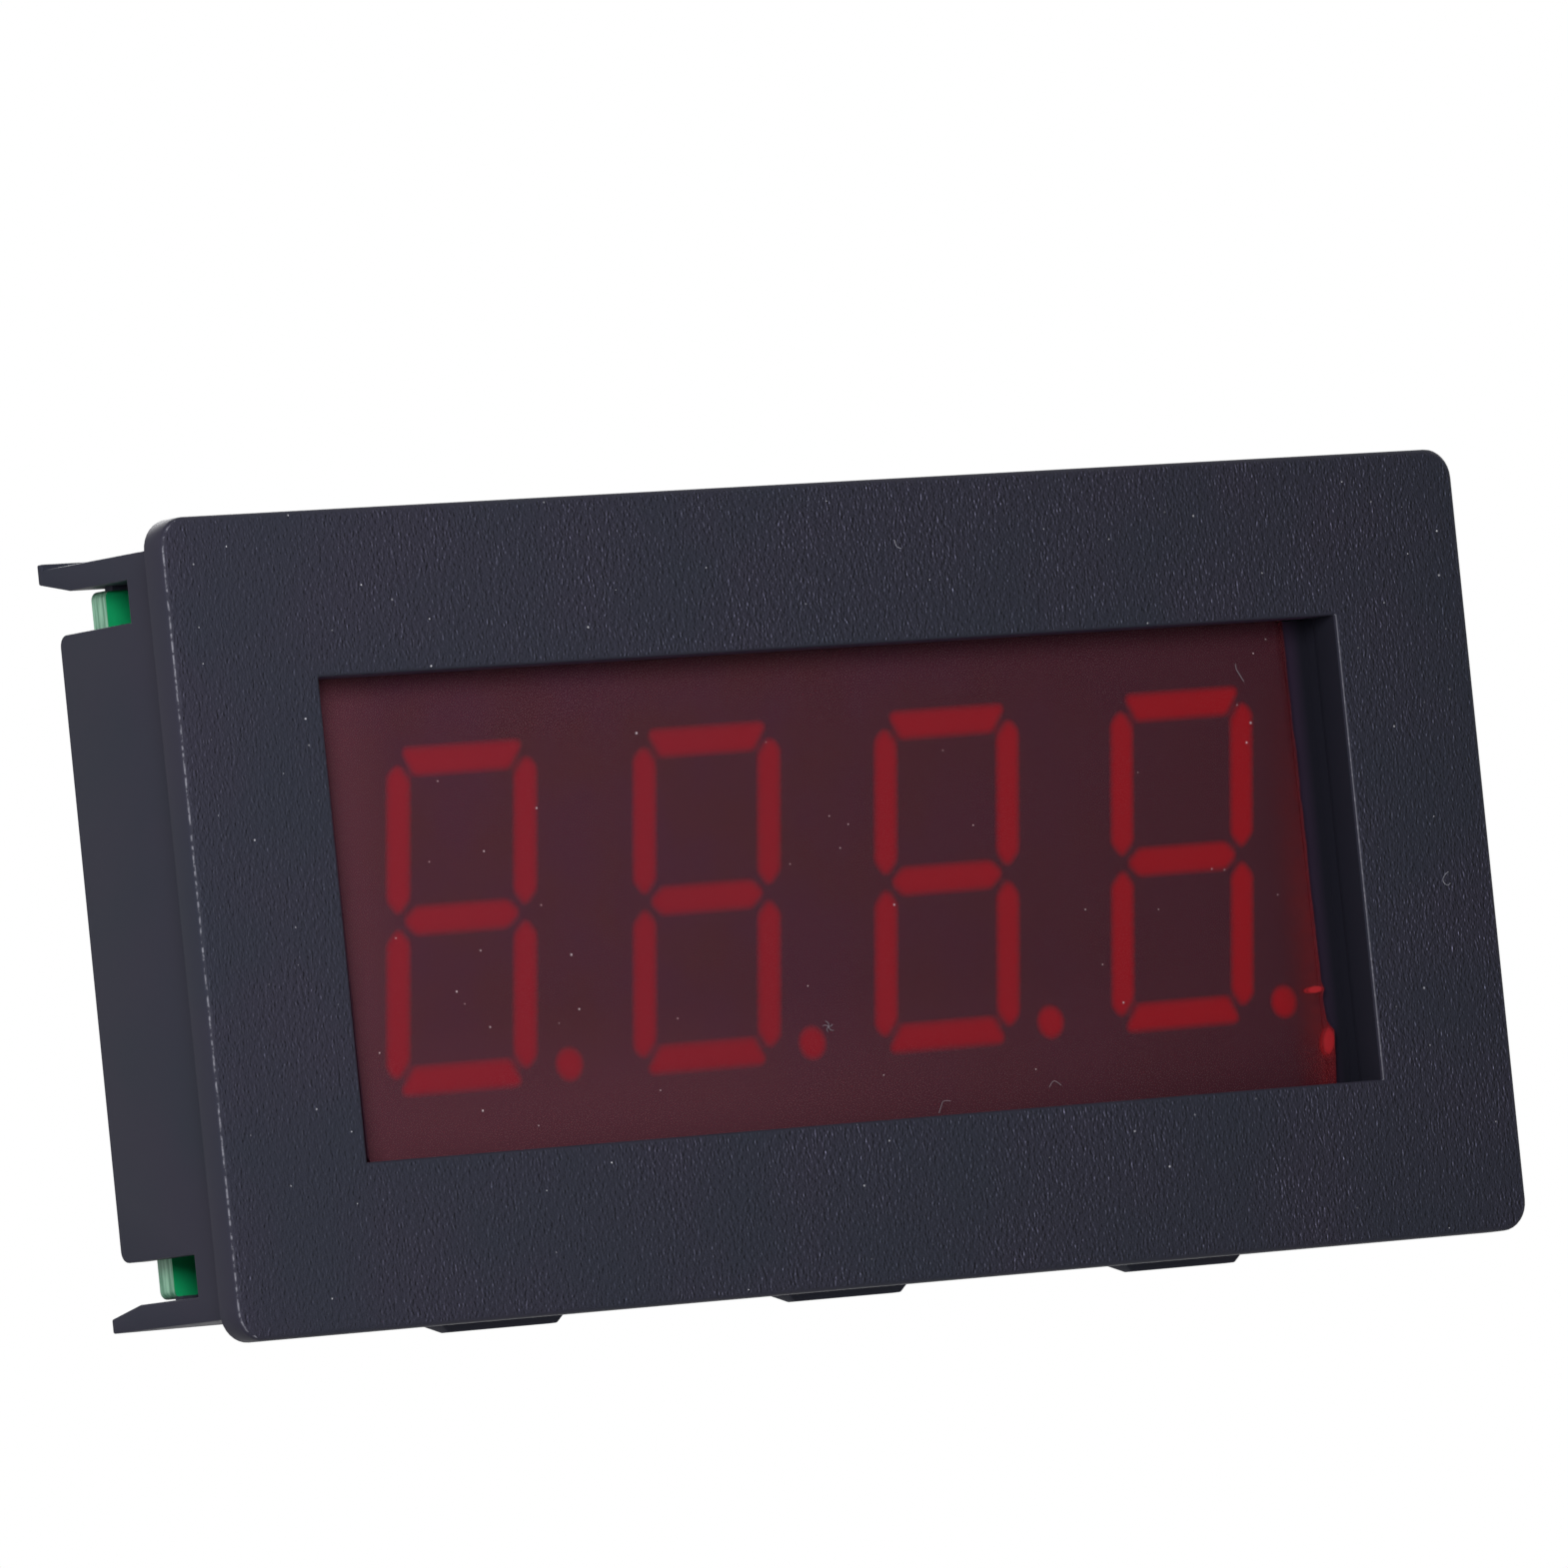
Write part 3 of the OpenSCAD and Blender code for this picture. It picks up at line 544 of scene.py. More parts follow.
cotton, tree, inputs, place = new_material("pale cotton lint", 0.9, specular=0.1)
twist = add(tree, "TexNoise", place, Scale=1 / (0.2 * mm), Detail=1)
strand = add(tree, "Mix", twist, "#62626c", "#a2a2ac", data_type="RGBA")
tree.links.new(strand, inputs["Base Color"])
fit(fibres, cotton, "black_abs")


# Film: a matt red sheet over the row of digits, cut by hand. Its right edge is uneven, with a
# small tab at its foot and a short spur above that, and it lies with the row, slightly turned.
row_turn = math.radians(-0.43)
film_x, film_z = 35.75, 14.75
film_rear = 0.97
tab = {-film_z: 0.3, -11.15: 0.6, -10.55: 0.1, -9.1: 0.02, -8.6: 0.18, -8.1: 0}
film = block("film_sheet", (-film_x, film_front, -film_z), (film_x, film_rear, film_z))
open_mesh(film)
for z in list(tab)[1:]:
    slice_mesh(2, z)
for z, out in tab.items():
    select(film, "VERT", lambda p: p.x > film_x - 1 and abs(p.z - z) < 0.01)
    shift(out, 0, 0)
for z in range(-13, 15):
    slice_mesh(2, z + 0.2)
close_mesh()
rough_cut = random.Random(7)
for vertex in film.data.vertices:
    if vertex.co.x > 30 * mm:
        rough_cut.seed(round(vertex.co.z / mm * 10))
        vertex.co.x += rough_cut.uniform(-0.04, 0.04) * mm
film.data.transform(Matrix.Rotation(row_turn, 4, "Y"))
soften(film, 0)

# Matt red polyester: a thin veil over what lies behind it. A painted red glow stands for light
# that runs in the sheet and comes out near its cut right edge, deeper red towards the foot, with
# two painted bright glints where the knife slipped: a short stroke at the spur, and a blotch on
# the tab.
polyester, tree, inputs, place = new_material("matt red polyester film", 0.5, specular=0.3)
place = add(tree, "Mapping", place, Rotation=(0, -row_turn, 0))
sides = add(tree, "SeparateXYZ", place).node.outputs
wisps = add(tree, "TexNoise", place, Scale=1 / (0.7 * mm), Detail=2)
wisps = add(tree, "MapRange", wisps, 0.3, 0.6, 0.5)


def painted_glint(x, z, wide, tall, turn):
    """Gives the brightness of a soft spot of painted light, from its middle, half sizes and turn.
    """
    spot = add(tree, "Mapping", place, vector_type="TEXTURE", Location=(x * mm, 0, z * mm),
               Rotation=(0, math.radians(turn), 0), Scale=(wide * mm, 1, tall * mm))
    away = add(tree, "VectorMath", spot, operation="LENGTH", out="Value")
    return add(tree, "MapRange", away, 1, 0.35, interpolation_type="SMOOTHSTEP")


# Painted glow: the film's colour and opacity rise towards its cut right edge and towards its foot.
edge_glow = add(tree, "MapRange", sides["X"], 32.6 * mm, 35.7 * mm,
                interpolation_type="SMOOTHSTEP")
near_foot = add(tree, "MapRange", sides["Z"], 11 * mm, -3 * mm, 0.1)
band = edge_glow
for factor in (near_foot, wisps):
    band = add(tree, "Math", band, factor, operation="MULTIPLY")
spots = add(tree, "Math", painted_glint(35.2, -8.6, 1.0, 0.34, -2), painted_glint(35.85, -11.8, 0.72, 1.35, 13),
            operation="MAXIMUM")
tint = add(tree, "Mix", band, "#4a1018", "#781a20", data_type="RGBA")
tint = add(tree, "Mix", spots, tint, "#a61c24", data_type="RGBA")
tree.links.new(tint, inputs["Base Color"])
veil = add(tree, "Math", band, 0.26, 0.12, operation="MULTIPLY_ADD")
veil = add(tree, "Math", veil, spots, operation="MAXIMUM")
# The cut edge itself is made more opaque, so it shows as a red line, lit by the painted glow
# towards the foot.
rim = add(tree, "MapRange", sides["X"], 35.2 * mm, 35.8 * mm, 0, 0.5)
veil = add(tree, "Math", veil, rim, operation="MAXIMUM")
tree.links.new(veil, inputs["Alpha"])
fit(film, polyester, "red_film", "red_film")


# Dust on the film: a few dozen pale grains of three sizes, strewn at random.
def mottled(name, dark, light, size, roughness, metallic=0.0, specular=0.5, depth=0.0):
    """Makes a material that clouds between two colours, with a relief, at a size in mm."""
    material, tree, inputs, place = new_material(name, roughness, metallic, specular)
    cloud = add(tree, "TexNoise", place, Scale=1 / (size * mm), Detail=3)
    spread = add(tree, "MapRange", cloud, 0.35, 0.65)
    tone = add(tree, "Mix", spread, dark, light, data_type="RGBA")
    tree.links.new(tone, inputs["Base Color"])
    if depth:
        relief = add(tree, "Bump", Height=cloud, Distance=depth * mm)
        tree.links.new(relief, inputs["Normal"])
    return material


strewn = random.Random(11)
grains = []
for radius, count in ((0.045, 30), (0.065, 10), (0.085, 3)):
    places = [(strewn.uniform(-34.5, 34.5), film_front, strewn.uniform(-13, 13))
              for k in range(count)]
    grains.append(copies("grains", disc("grain", 0, 0, -0.01, 0, radius, 6), places))
dust_grains = joined("film_dust", grains)
dust_grains.data.transform(Matrix.Rotation(row_turn, 4, "Y"))
powder = mottled("pale household dust", "#948c92", "#d2ccd0", 0.6, 0.9, specular=0.1)
fit(dust_grains, powder, "red_film")


# Digits: four moulded reflector blocks with a dark printed face, each filled with red resin in
# seven bars and a point. A small plate with ten leads closes each block from behind.
def finish_node(node, material):
    """Gives a CAD node its material."""
    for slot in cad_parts[node].material_slots:
        slot.material = material


face_ink = mottled("dark face ink on the blocks", "#391e2d", "#3d202f", 3, 0.6, specular=0.12)
resin = mottled("red cast epoxy resin", "#890f1f", "#8f1121", 1.5, 0.45, specular=0.12)
plate = mottled("pale epoxy plate", "#c3bc9c", "#d6d0b6", 0.8, 0.6, depth=0.02)
tin = mottled("tinned copper", "#b9babc", "#d2d3d4", 0.6, 0.3, metallic=1, depth=0.01)
wafer = mottled("yellow semiconductor die", "#cdb058", "#dcc06a", 0.1, 0.35)
for number in "1234":
    for part, material in (("housing", face_ink), ("segments", resin), ("substrate", plate),
                           ("pins", tin)):
        finish_node(f"digit_{number}_{part}", material)
finish_node("led_dice", wafer)

# Haze: the matt film blurs what lies behind it, so the bars look soft at their edges and round at
# their corners. A fine net close behind the film holds how much of a bar shows at each point. Dark
# ink shows between the bars. Towards the left the ink is painted lighter as a painted sheen, the
# bars are painted a brighter, purer red towards the right end against the lamp's fall-off, and the
# lower and left margins are painted lighter as painted light.
blur_r, net_step, samples = 0.34, 0.2, 31
net_y = 0.985
figures = bmesh.new()
for number in "1234":
    figures.from_mesh(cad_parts[f"digit_{number}_segments"].data)
bmesh.ops.scale(figures, vec=(1 / mm, 1 / mm, 1 / mm), verts=figures.verts)
behind = [face for face in figures.faces if face.normal.y > -0.9]
bmesh.ops.delete(figures, geom=behind, context="FACES")
outlines = BVHTree.FromBMesh(figures)
figure_y = span("digit_1_segments")[0].y
bpy.ops.mesh.primitive_grid_add(
    x_subdivisions=round(2 * film_x / net_step), y_subdivisions=round(2 * film_z / net_step),
    size=2, location=(0, net_y * mm, 0), rotation=(math.pi / 2, 0, 0))
bpy.context.object.scale = ((film_x - 0.05) * mm, (film_z - 0.05) * mm, 1)
net = settled("film_haze")
net.data.transform(Matrix.Rotation(row_turn, 4, "Y"))
around = [(blur_r * math.sqrt((k + 0.5) / samples) * math.cos(2.4 * k),
           blur_r * math.sqrt((k + 0.5) / samples) * math.sin(2.4 * k)) for k in range(samples)]
shown = net.data.attributes.new("bar", "FLOAT", "POINT")
for vertex, share in zip(net.data.vertices, shown.data):
    x, z = vertex.co.x / mm, vertex.co.z / mm
    if outlines.find_nearest((x, figure_y, z), blur_r)[0]:
        hits = [outlines.ray_cast((x + dx, figure_y - 1, z + dz), (0, 1, 0), 2)[0]
                for dx, dz in around]
        share.value = sum(hit is not None for hit in hits) / samples
figures.free()
open_mesh(net)
bpy.ops.mesh.select_mode(type="EDGE")
bpy.ops.mesh.select_all(action="DESELECT")
bpy.ops.mesh.select_non_manifold()
extrude(0, 0.01, 0)
bpy.ops.mesh.edge_face_add()
bpy.ops.mesh.select_all(action="SELECT")
bpy.ops.mesh.normals_make_consistent(inside=False)
close_mesh()
hazy, tree, inputs, place = new_material("ink and resin behind matt film", 0.6, specular=0.06)
across = add(tree, "SeparateXYZ", place).node.outputs
rightward = add(tree, "MapRange", across["X"], -12 * mm, 36 * mm)
cloud = add(tree, "TexNoise", place, Scale=1 / (5 * mm), Detail=2)
cloud = add(tree, "MapRange", cloud, 0.35, 0.65)
dark = add(tree, "Mix", cloud, "#4d2d35", "#4c2d3c", data_type="RGBA")
# Painted sheen: towards the left the ink is painted lighter and greyer, towards the right darker.
dark = add(tree, "Mix", rightward, dark, "#452631", data_type="RGBA")
# Painted light: the lower and the left margins are painted lighter.
low_margin = add(tree, "MapRange", across["Z"], -6 * mm, -13.5 * mm)
left_margin = add(tree, "MapRange", across["X"], -31 * mm, -35 * mm, To_Max=0.8)
leftward = add(tree, "Math", 1, rightward, operation="SUBTRACT")
low_margin = add(tree, "Math", low_margin, leftward, operation="MULTIPLY")
painted_light_margin = add(tree, "Math", low_margin, left_margin, operation="MAXIMUM")
dark = add(tree, "Mix", painted_light_margin, dark, "#5d3742", data_type="RGBA")
# Painted light: the bars are painted brighter and purer red towards the right end, against the
# lamp's fall-off.
red = add(tree, "Mix", rightward, "#982532", "#b21923", data_type="RGBA")
bars = add(tree, "Attribute", attribute_name="bar", out="Fac")
bars = add(tree, "MapRange", bars, 0.2, 1)
face = add(tree, "Mix", bars, dark, red, data_type="RGBA")
tree.links.new(face, inputs["Base Color"])
fit(net, hazy, "red_film")


# Board: glass epoxy, routed to size and drilled, with green solder mask on both faces. Its sawn
# rim shows the pale glass cloth in whitish streaks.
mask, tree, inputs, place = new_material("green solder mask on glass epoxy", 0.34)
facing = add(tree, "NewGeometry", out="Normal")
directions = add(tree, "SeparateXYZ", facing).node.outputs
flat = add(tree, "Math", directions["Y"], operation="ABSOLUTE")
flat = add(tree, "Math", flat, 0.5, operation="GREATER_THAN")
cloud = add(tree, "TexNoise", place, Scale=1 / (6 * mm), Detail=3)
green = add(tree, "Mix", cloud, "#0e9056", "#129c62", data_type="RGBA")
cloth = add(tree, "Mapping", place, Scale=(1, 1, 0.08))
cloth = add(tree, "TexNoise", cloth, Scale=1 / (0.25 * mm), Detail=4)
cloth = add(tree, "MapRange", cloth, 0.38, 0.62)
rim = add(tree, "Mix", cloth, "#4d876b", "#8abca0", data_type="RGBA")
coat = add(tree, "Mix", flat, rim, green, data_type="RGBA")
tree.links.new(coat, inputs["Base Color"])
weave = add(tree, "TexNoise", place, Scale=1 / (0.5 * mm), Detail=1)
relief = add(tree, "Bump", Height=weave, Strength=0.5, Distance=0.01 * mm)
tree.links.new(relief, inputs["Normal"])
finish_node("main_board", mask)


# Tracks: copper lines under the mask on the rear, which stand up a little and look a lighter
# green. They fan out from the two chips to the leads, the resistors and both headers.
rear = span("main_board")[1].y


def lines(name, width, height, paths, closed=False):
    """Lays flat lines on the rear of the board through points given as X and Z."""
    piece = wires(name, width / 2, 0, paths, closed=closed)
    flat = Matrix.Scale(2 * height / width, 4, (0, 1, 0))
    piece.data.transform(Matrix.Translation((0, rear * mm, 0)) @ flat)
    return piece


def middle_of(node):
    """Gives the X and Z of the middle of a CAD node, in millimetres."""
    middle = sum(span(node), Vector()) / 2
    return middle.x, middle.z


digit_pitch, lead_pitch, leg_pitch, fine_pitch = 17.9, 2.54, 1.27, 0.8
digit_places = [(k - 1.5) * digit_pitch for k in range(4)]
controller_x, driver_x, signal_x, power_x = [middle_of(node)[0] for node in (
    "controller_chip", "driver_chip", "signal_header_base", "power_header_pins")]
signal_z = [(k - 2.5) * lead_pitch for k in range(6)]
thin, via_places = [], []
for up in (-1, 1):
    for side in (-1, 1):
        for k in range(4):
            leg = controller_x + side * (4 - fine_pitch * k)
            bus = up * (8.2 + 0.6 * k)
            end = 14.6 if (side, up) == (1, -1) else digit_places[(side + 1) // 2 * 3] + side * 4
            thin.append([(leg, up * 6.2), (leg, bus - up * 0.4), (leg + side * 0.4, bus),
                         (end, bus)])
            via_places.append((end, bus))
    for k in range(4):
        leg_z = up * (4 - fine_pitch * k)
        lane = up * (7.6 - 0.5 * k)
        start = controller_x + 6.6
        foot = driver_x + (-6.985 if up > 0 else -9) + (3 - k) * leg_pitch
        foot_z = 5.3 if up > 0 else -6.9
        thin.append([(start, leg_z), (start + 0.5, leg_z), (start + 0.5 + abs(lane - leg_z), lane),
                     (foot - 0.4, lane), (foot, lane - up * 0.4), (foot, foot_z)])
gaps = [16.2, 17.9, 19.6, 23.04, 25.58, 28.12, 30.66, 33.3]
legs = [driver_x + (k - 5.5) * leg_pitch for k in (0, 1, 2, 4, 6, 8, 10, 11)]
for k in range(8):
    foot = driver_x + (k - 3.5) * 2.2
    drop, climb = abs(foot - gaps[k]), abs(legs[k] - gaps[k])
    thin.append([(foot, -15), (gaps[k], -15 + drop), (gaps[k], -9.6), (legs[k], -9.6 + climb),
                 (legs[k], -5.3)])
    thin.append([(foot, -17.3), (foot, -18.3)])
    via_places.append((foot, -18.3))
for x in digit_places:
    thin.append([(x - 1.05, 14.7), (x + 1.2, 14.7), (x + 2.6, 16.1), (x + 3.1, 16.1)])
    thin.append([(x - 2, 17.4), (x - 2, 18.2), (x - 3.6, 19.3)])
    thin.append([(x - 2.95, 14.7), (x - 3.81, 13.84), (x - 3.81, 12.9)])
    thin.append([(x + 4.9, 16.1), (x + 6.2, 16.1), (x + 7.2, 15.1), (x + 7.2, 12.2)])
    via_places.extend([(x - 3.81, 12.9), (x + 7.2, 12.2)])
for k, z in enumerate(signal_z):
    up = 1 if z > 0 else -1
    lane = signal_x - 5.4 + 0.7 * (abs(z) / lead_pitch - 0.5)
    thin.append([(signal_x - 0.9, z), (lane + 0.5, z), (lane, z + up * 0.5), (lane, up * 9.4)])
    via_places.append((lane, up * 9.4))
thin.append([(controller_x - 6.6, 4), (controller_x - 9, 4), (controller_x - 12.4, 7.4),
             (-9, 7.4)])
thin.append([(controller_x - 6.6, 3.2), (controller_x - 10.6, 3.2), (-6.1, 4.4), (-16.1, 4.4),
             (-16.1, 5.4)])
broad = [[(-36, 19.3), (36, 19.3)], [(-36, -19.2), (14, -19.2), (14.9, -18.3), (33.2, -18.3)],
         [(power_x, -1.27), (-37.4, -1.27), (-34, -4.7), (-34, -8.68), (-32.4, -8.68)],
         [(-27.4, -8.68), (-24.4, -8.68), (-22.4, -6.68), (-21, -6.68)],
         [(power_x, 1.27), (-32.8, 1.27), (-32.18, 1.9), (-32.18, 3.6)],
         [(-27.58, 3.6), (-27.58, 1.4), (-26.18, 0), (-3, 0), (controller_x - 6.6, 0)]]
tracks = joined("board_tracks", [lines("thin", 0.34, 0.035, thin),
                                 lines("broad", 1.1, 0.035, broad)])
copper = mottled("copper under green solder mask", "#2a9c6c", "#34a878", 5, 0.32)
fit(tracks, copper, "green_board")


# Vias: plated holes that take a track to the other face, each with its small tinned ring.
def turned(name, profile, steps):
    """Spins a profile, given as radius and depth in millimetres, about the depth axis."""
    bpy.ops.mesh.primitive_plane_add(size=mm)
    piece = settled(name)
    open_mesh(piece)
    bpy.ops.mesh.select_mode(type="VERT")
    bpy.ops.mesh.select_all(action="SELECT")
    bpy.ops.mesh.merge(type="CENTER")
    shift(profile[0][0], profile[0][1], 0)
    for a, b in zip(profile, profile[1:]):
        extrude(b[0] - a[0], b[1] - a[1], 0)
    bpy.ops.mesh.select_all(action="SELECT")
    bpy.ops.mesh.spin(steps=steps, angle=2 * math.pi, center=(0, 0, 0), axis=(0, 1, 0))
    bpy.ops.mesh.select_all(action="SELECT")
    bpy.ops.mesh.remove_doubles(threshold=0.002 * mm)
    bpy.ops.mesh.normals_make_consistent(inside=False)
    close_mesh()
    bpy.ops.object.shade_smooth_by_angle(angle=math.radians(40))
    return piece


ring = turned("via", [(0.16, -0.1), (0.16, 0.03), (0.2, 0.05), (0.34, 0.05), (0.38, 0),
                      (0.16, -0.1)], 10)
vias = copies("vias", ring, [(x, rear, z) for x, z in via_places])
fit(vias, tin, "tinned_metal")


# Legend: thin white ink lines around the parts, printed through a screen, with a dot at the first
# leg of the chips and of the signal header. There are no words.
def solids(node):
    """Gives the lowest and highest corner, in millimetres, of each solid of a CAD node."""
    shape = bmesh.new()
    shape.from_mesh(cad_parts[node].data)
    bmesh.ops.remove_doubles(shape, verts=shape.verts, dist=0.001 * mm)
    found, seen = [], set()
    for first in shape.verts:
        if first in seen:
            continue
        group, waiting = [], [first]
        seen.add(first)
        while waiting:
            vertex = waiting.pop()
            group.append(vertex.co / mm)
            for edge in vertex.link_edges:
                other = edge.other_vert(vertex)
                if other not in seen:
                    seen.add(other)
                    waiting.append(other)
        found.append([Vector([end(p[k] for p in group) for k in range(3)]) for end in (min, max)])
    shape.free()
    return found


def frame_lines(low, high, room=0):
    """Gives the four corners of a frame that clears a box by some room."""
    return [(low.x - room, low.z - room), (high.x + room, low.z - room),
            (high.x + room, high.z + room), (low.x - room, high.z + room)]


frames = [frame_lines(*span(node), 0.5) for node in
          ("controller_legs", "driver_legs", "regulator_legs", "diode", "crystal",
           "signal_header_base", "power_header_base")]
reach = Vector((2, 0, 1.9))
frames += [frame_lines((low + high) / 2 - reach, (low + high) / 2 + reach)
           for low, high in solids("transistor_bodies")]
for node in ("ceramic_capacitors", "resistors", "capacitor_bases"):
    frames += [frame_lines(low, high, 0.4) for low, high in solids(node)]
dots = [[(x - 0.1, z), (x + 0.1, z)] for x, z in
        ((controller_x - 7.4, 5.2), (driver_x - 8.6, -5.4), (signal_x - 2.6, -6.35))]
legend = joined("board_legend", [lines("frames", 0.18, 0.02, frames, closed=True),
                                 lines("dots", 0.5, 0.02, dots)])
ink = mottled("white screen ink", "#d5d8d2", "#eceee8", 0.5, 0.6)
fit(legend, ink, "green_board")


# Solder joints: tin alloy drawn up each lead into a hollow cone, forty behind the digits and
# eight on the front face under the headers.
def middles(node, y):
    """Gives a place at a depth for the middle of each solid of a CAD node."""
    return [((low.x + high.x) / 2, y, (low.z + high.z) / 2) for low, high in solids(node)]


cone = [(0.25, 0), (0.25, 0.82), (0.3, 0.8), (0.34, 0.6), (0.42, 0.36), (0.56, 0.16), (0.72, 0.05),
        (0.85, 0), (0.25, 0)]
solder = mottled("tin solder", "#a9acb0", "#c9ccd0", 0.5, 0.24, metallic=1, depth=0.01)
for group, turn, y in (("display", 0, rear), ("header", math.pi, span("header_solder")[1].y)):
    joint = turned("joint", cone, 14)
    joint.data.transform(Matrix.Rotation(turn, 4, "X"))
    joints = copies(group + "_joints", joint, middles(group + "_solder", y))
    fit(joints, solder, "solder", group + "_solder")


# Pads: tinned copper under every leg and chip part, a little wider than the leg.
pads = []
for node, grow in (("controller_legs", 0.08), ("driver_legs", 0.12), ("regulator_legs", 0.2),
                   ("transistor_legs", 0.15), ("ceramic_capacitors", 0.2), ("resistors", 0.2)):
    for low, high in solids(node):
        pads.append(block("pad", (low.x - grow, rear, low.z - grow),
                          (high.x + grow, rear + 0.04, high.z + grow)))
fit(joined("pads", pads), tin, "tinned_metal")


# Board screws: zinc plated pan heads with a cross recess, driven from behind into the bosses.
head_r, shank_r, shank_l = 1.98, 1.1, 6.0
slot_l, slot_w = 1.2, 0.26
screw = turned("board_screw", [(0, -shank_l), (0.7, -shank_l), (shank_r, -shank_l + 0.8),
                               (shank_r, 0), (head_r - 0.06, 0), (head_r, 0.1), (head_r, 0.45),
                               (1.88, 0.72), (1.6, 0.98), (1.1, 1.14), (0.5, 1.19), (0, 1.2)], 32)
for size_x, size_z in ((slot_l, slot_w), (slot_w, slot_l)):
    slot = block("slot", (-size_x, 0.5, -size_z), (size_x, 2, size_z))
    open_mesh(slot)
    select(slot, "VERT", lambda p: p.y < 1)
    bpy.ops.transform.resize(value=(0.6, 1, 0.6))
    close_mesh()
    combine(screw, slot, "DIFFERENCE")
soften(screw, 0.04)
screws = copies("screws", screw, middles("board_screws", rear))
zinc = mottled("zinc plated steel", "#85888c", "#a2a5a9", 0.9, 0.32, metallic=1, depth=0.008)
fit(screws, zinc, "screw_steel", "board_screws")


# Chips: black epoxy moulded round the lead frame. Both halves taper from the parting line, and a
# round dimple marks the first leg. The legs are the CAD's own, bent from tinned copper.
def moulded_body(name, low, high, draft, dimple=None):
    """Models a chip body between two corners, tapered from its parting line."""
    body = block(name, low, high)
    middle = (low[1] + high[1]) / 2
    open_mesh(body)
    slice_mesh(1, middle)
    for axis in (0, 2):
        for end, inwards in ((low, draft), (high, -draft)):
            select(body, "VERT", lambda p: abs(p.y - middle) > 0.05
                   and abs(p[axis] - end[axis]) < draft / 2)
            shift(inwards * (axis == 0), 0, inwards * (axis == 2))
    close_mesh()
    soften(body, 0.1)
    if dimple:
        x, z, radius = dimple
        combine(body, disc("dimple", x, z, high[1] - 0.12, high[1] + 1, radius, 24), "DIFFERENCE")
        soften(body, 0)
    return body


epoxy = mottled("black moulded epoxy", "#1b1b1e", "#252529", 0.35, 0.55, specular=0.4, depth=0.02)
for node, reach_x, reach_z, radius in (("controller_chip", -3.9, 3.9, 0.5),
                                       ("driver_chip", -6.5, -2.3, 0.6),
                                       ("regulator_body", None, None, 0)):
    low, high = span(node)
    x, z = middle_of(node)
    dimple = (x + reach_x, z + reach_z, radius) if radius else None
    fit(moulded_body(node + "_moulding", low, high, 0.16, dimple), epoxy, "chip_epoxy", node)
small = joined("transistor_mouldings", [moulded_body("small", low, high, 0.08)
                                        for low, high in solids("transistor_bodies")])
fit(small, epoxy, "chip_epoxy", "transistor_bodies")
for node in ("controller_legs", "driver_legs", "regulator_legs", "transistor_legs"):
    finish_node(node, tin)


# Diode: a black moulded block with a pale printed band at its cathode, and a folded tinned
# terminal at each end.
low, high = span("diode")
terminal, terminal_half, terminal_h, band_w = 0.5, 0.65, 1.05, 0.9
body = moulded_body("diode_moulding", (low.x + terminal, low.y + 0.15, low.z),
                    (high.x - terminal, high.y, high.z), 0.12)
banded, tree, inputs, place = new_material("banded black epoxy", 0.5, specular=0.4)
across = add(tree, "SeparateXYZ", place, out="X")
band = add(tree, "Math", across, (low.x + terminal + band_w) * mm, operation="LESS_THAN")
print_wear = add(tree, "TexNoise", place, Scale=1 / (0.3 * mm))
pale = add(tree, "Mix", print_wear, "#a2a2a4", "#cfcfd1", data_type="RGBA")
coat = add(tree, "Mix", band, "#222226", pale, data_type="RGBA")
tree.links.new(coat, inputs["Base Color"])
fit(body, banded, "chip_epoxy", "diode")
ends = []
for side in (-1, 1):
    outer = high.x if side > 0 else low.x
    left, right = sorted((outer, outer - side * (terminal + 0.1)))
    z = (low.z + high.z) / 2
    end = block("terminal", (left, low.y, z - terminal_half),
                (right, low.y + terminal_h, z + terminal_half))
    soften(end, 0.12)
    ends.append(end)
fit(joined("diode_terminals", ends), tin, "tinned_metal", "diode")


# Crystal: a drawn steel can with rounded top, resistance welded to its flange.
low, high = span("crystal")
flange_h, flange_w = 0.4, 0.4
flange = block("flange", low, (high.x, low.y + flange_h, high.z))
shell = block("shell", (low.x + flange_w, low.y, low.z + flange_w),
              (high.x - flange_w, high.y, high.z - flange_w))
for piece, inset in ((flange, 0), (shell, flange_w)):
    open_mesh(piece)
    select(piece, "EDGE", lambda c, d: abs(d.y) > 0.9)
    bevel((high.z - low.z) / 2 - inset - 0.02, 14)
    close_mesh()
open_mesh(shell)
select(shell, "EDGE", lambda c, d: abs(c.y - high.y) < 0.01)
bevel(0.6, 5)
close_mesh()
soften(shell, 0)
soften(flange, 0.08)
can = joined("crystal_can", [flange, shell])
steel = mottled("drawn nickel steel", "#b4b6b8", "#c8cacc", 2, 0.26, metallic=1, depth=0.01)
fit(can, steel, "can_metal", "crystal")


# Electrolytic capacitors: an aluminium can, crimped near its foot over a rubber plug, on a black
# moulded base with two cut corners. A dark printed segment on the top marks the minus side.
profile = [(0, 0), (3.0, 0), (3.15, 0.12), (3.15, 0.5), (3.06, 0.66), (2.92, 0.78), (2.88, 0.92),
           (2.92, 1.06), (3.06, 1.18), (3.15, 1.34), (3.15, 4.08), (3.1, 4.28), (2.98, 4.42),
           (2.8, 4.5), (2.6, 4.5), (2.5, 4.44), (0, 4.44)]
can_places = middles("capacitor_cans", span("capacitor_cans")[0].y)
cans = copies("cans", turned("can", profile, 48), can_places)
aluminium = mottled("drawn aluminium", "#c6c8cb", "#dadcdf", 0.7, 0.3, metallic=1, depth=0.006)
fit(cans, aluminium, "can_metal", "capacitor_cans")
mark = disc("can_mark", 0, 0, 4.43, 4.47, 2.45, 48)
open_mesh(mark)
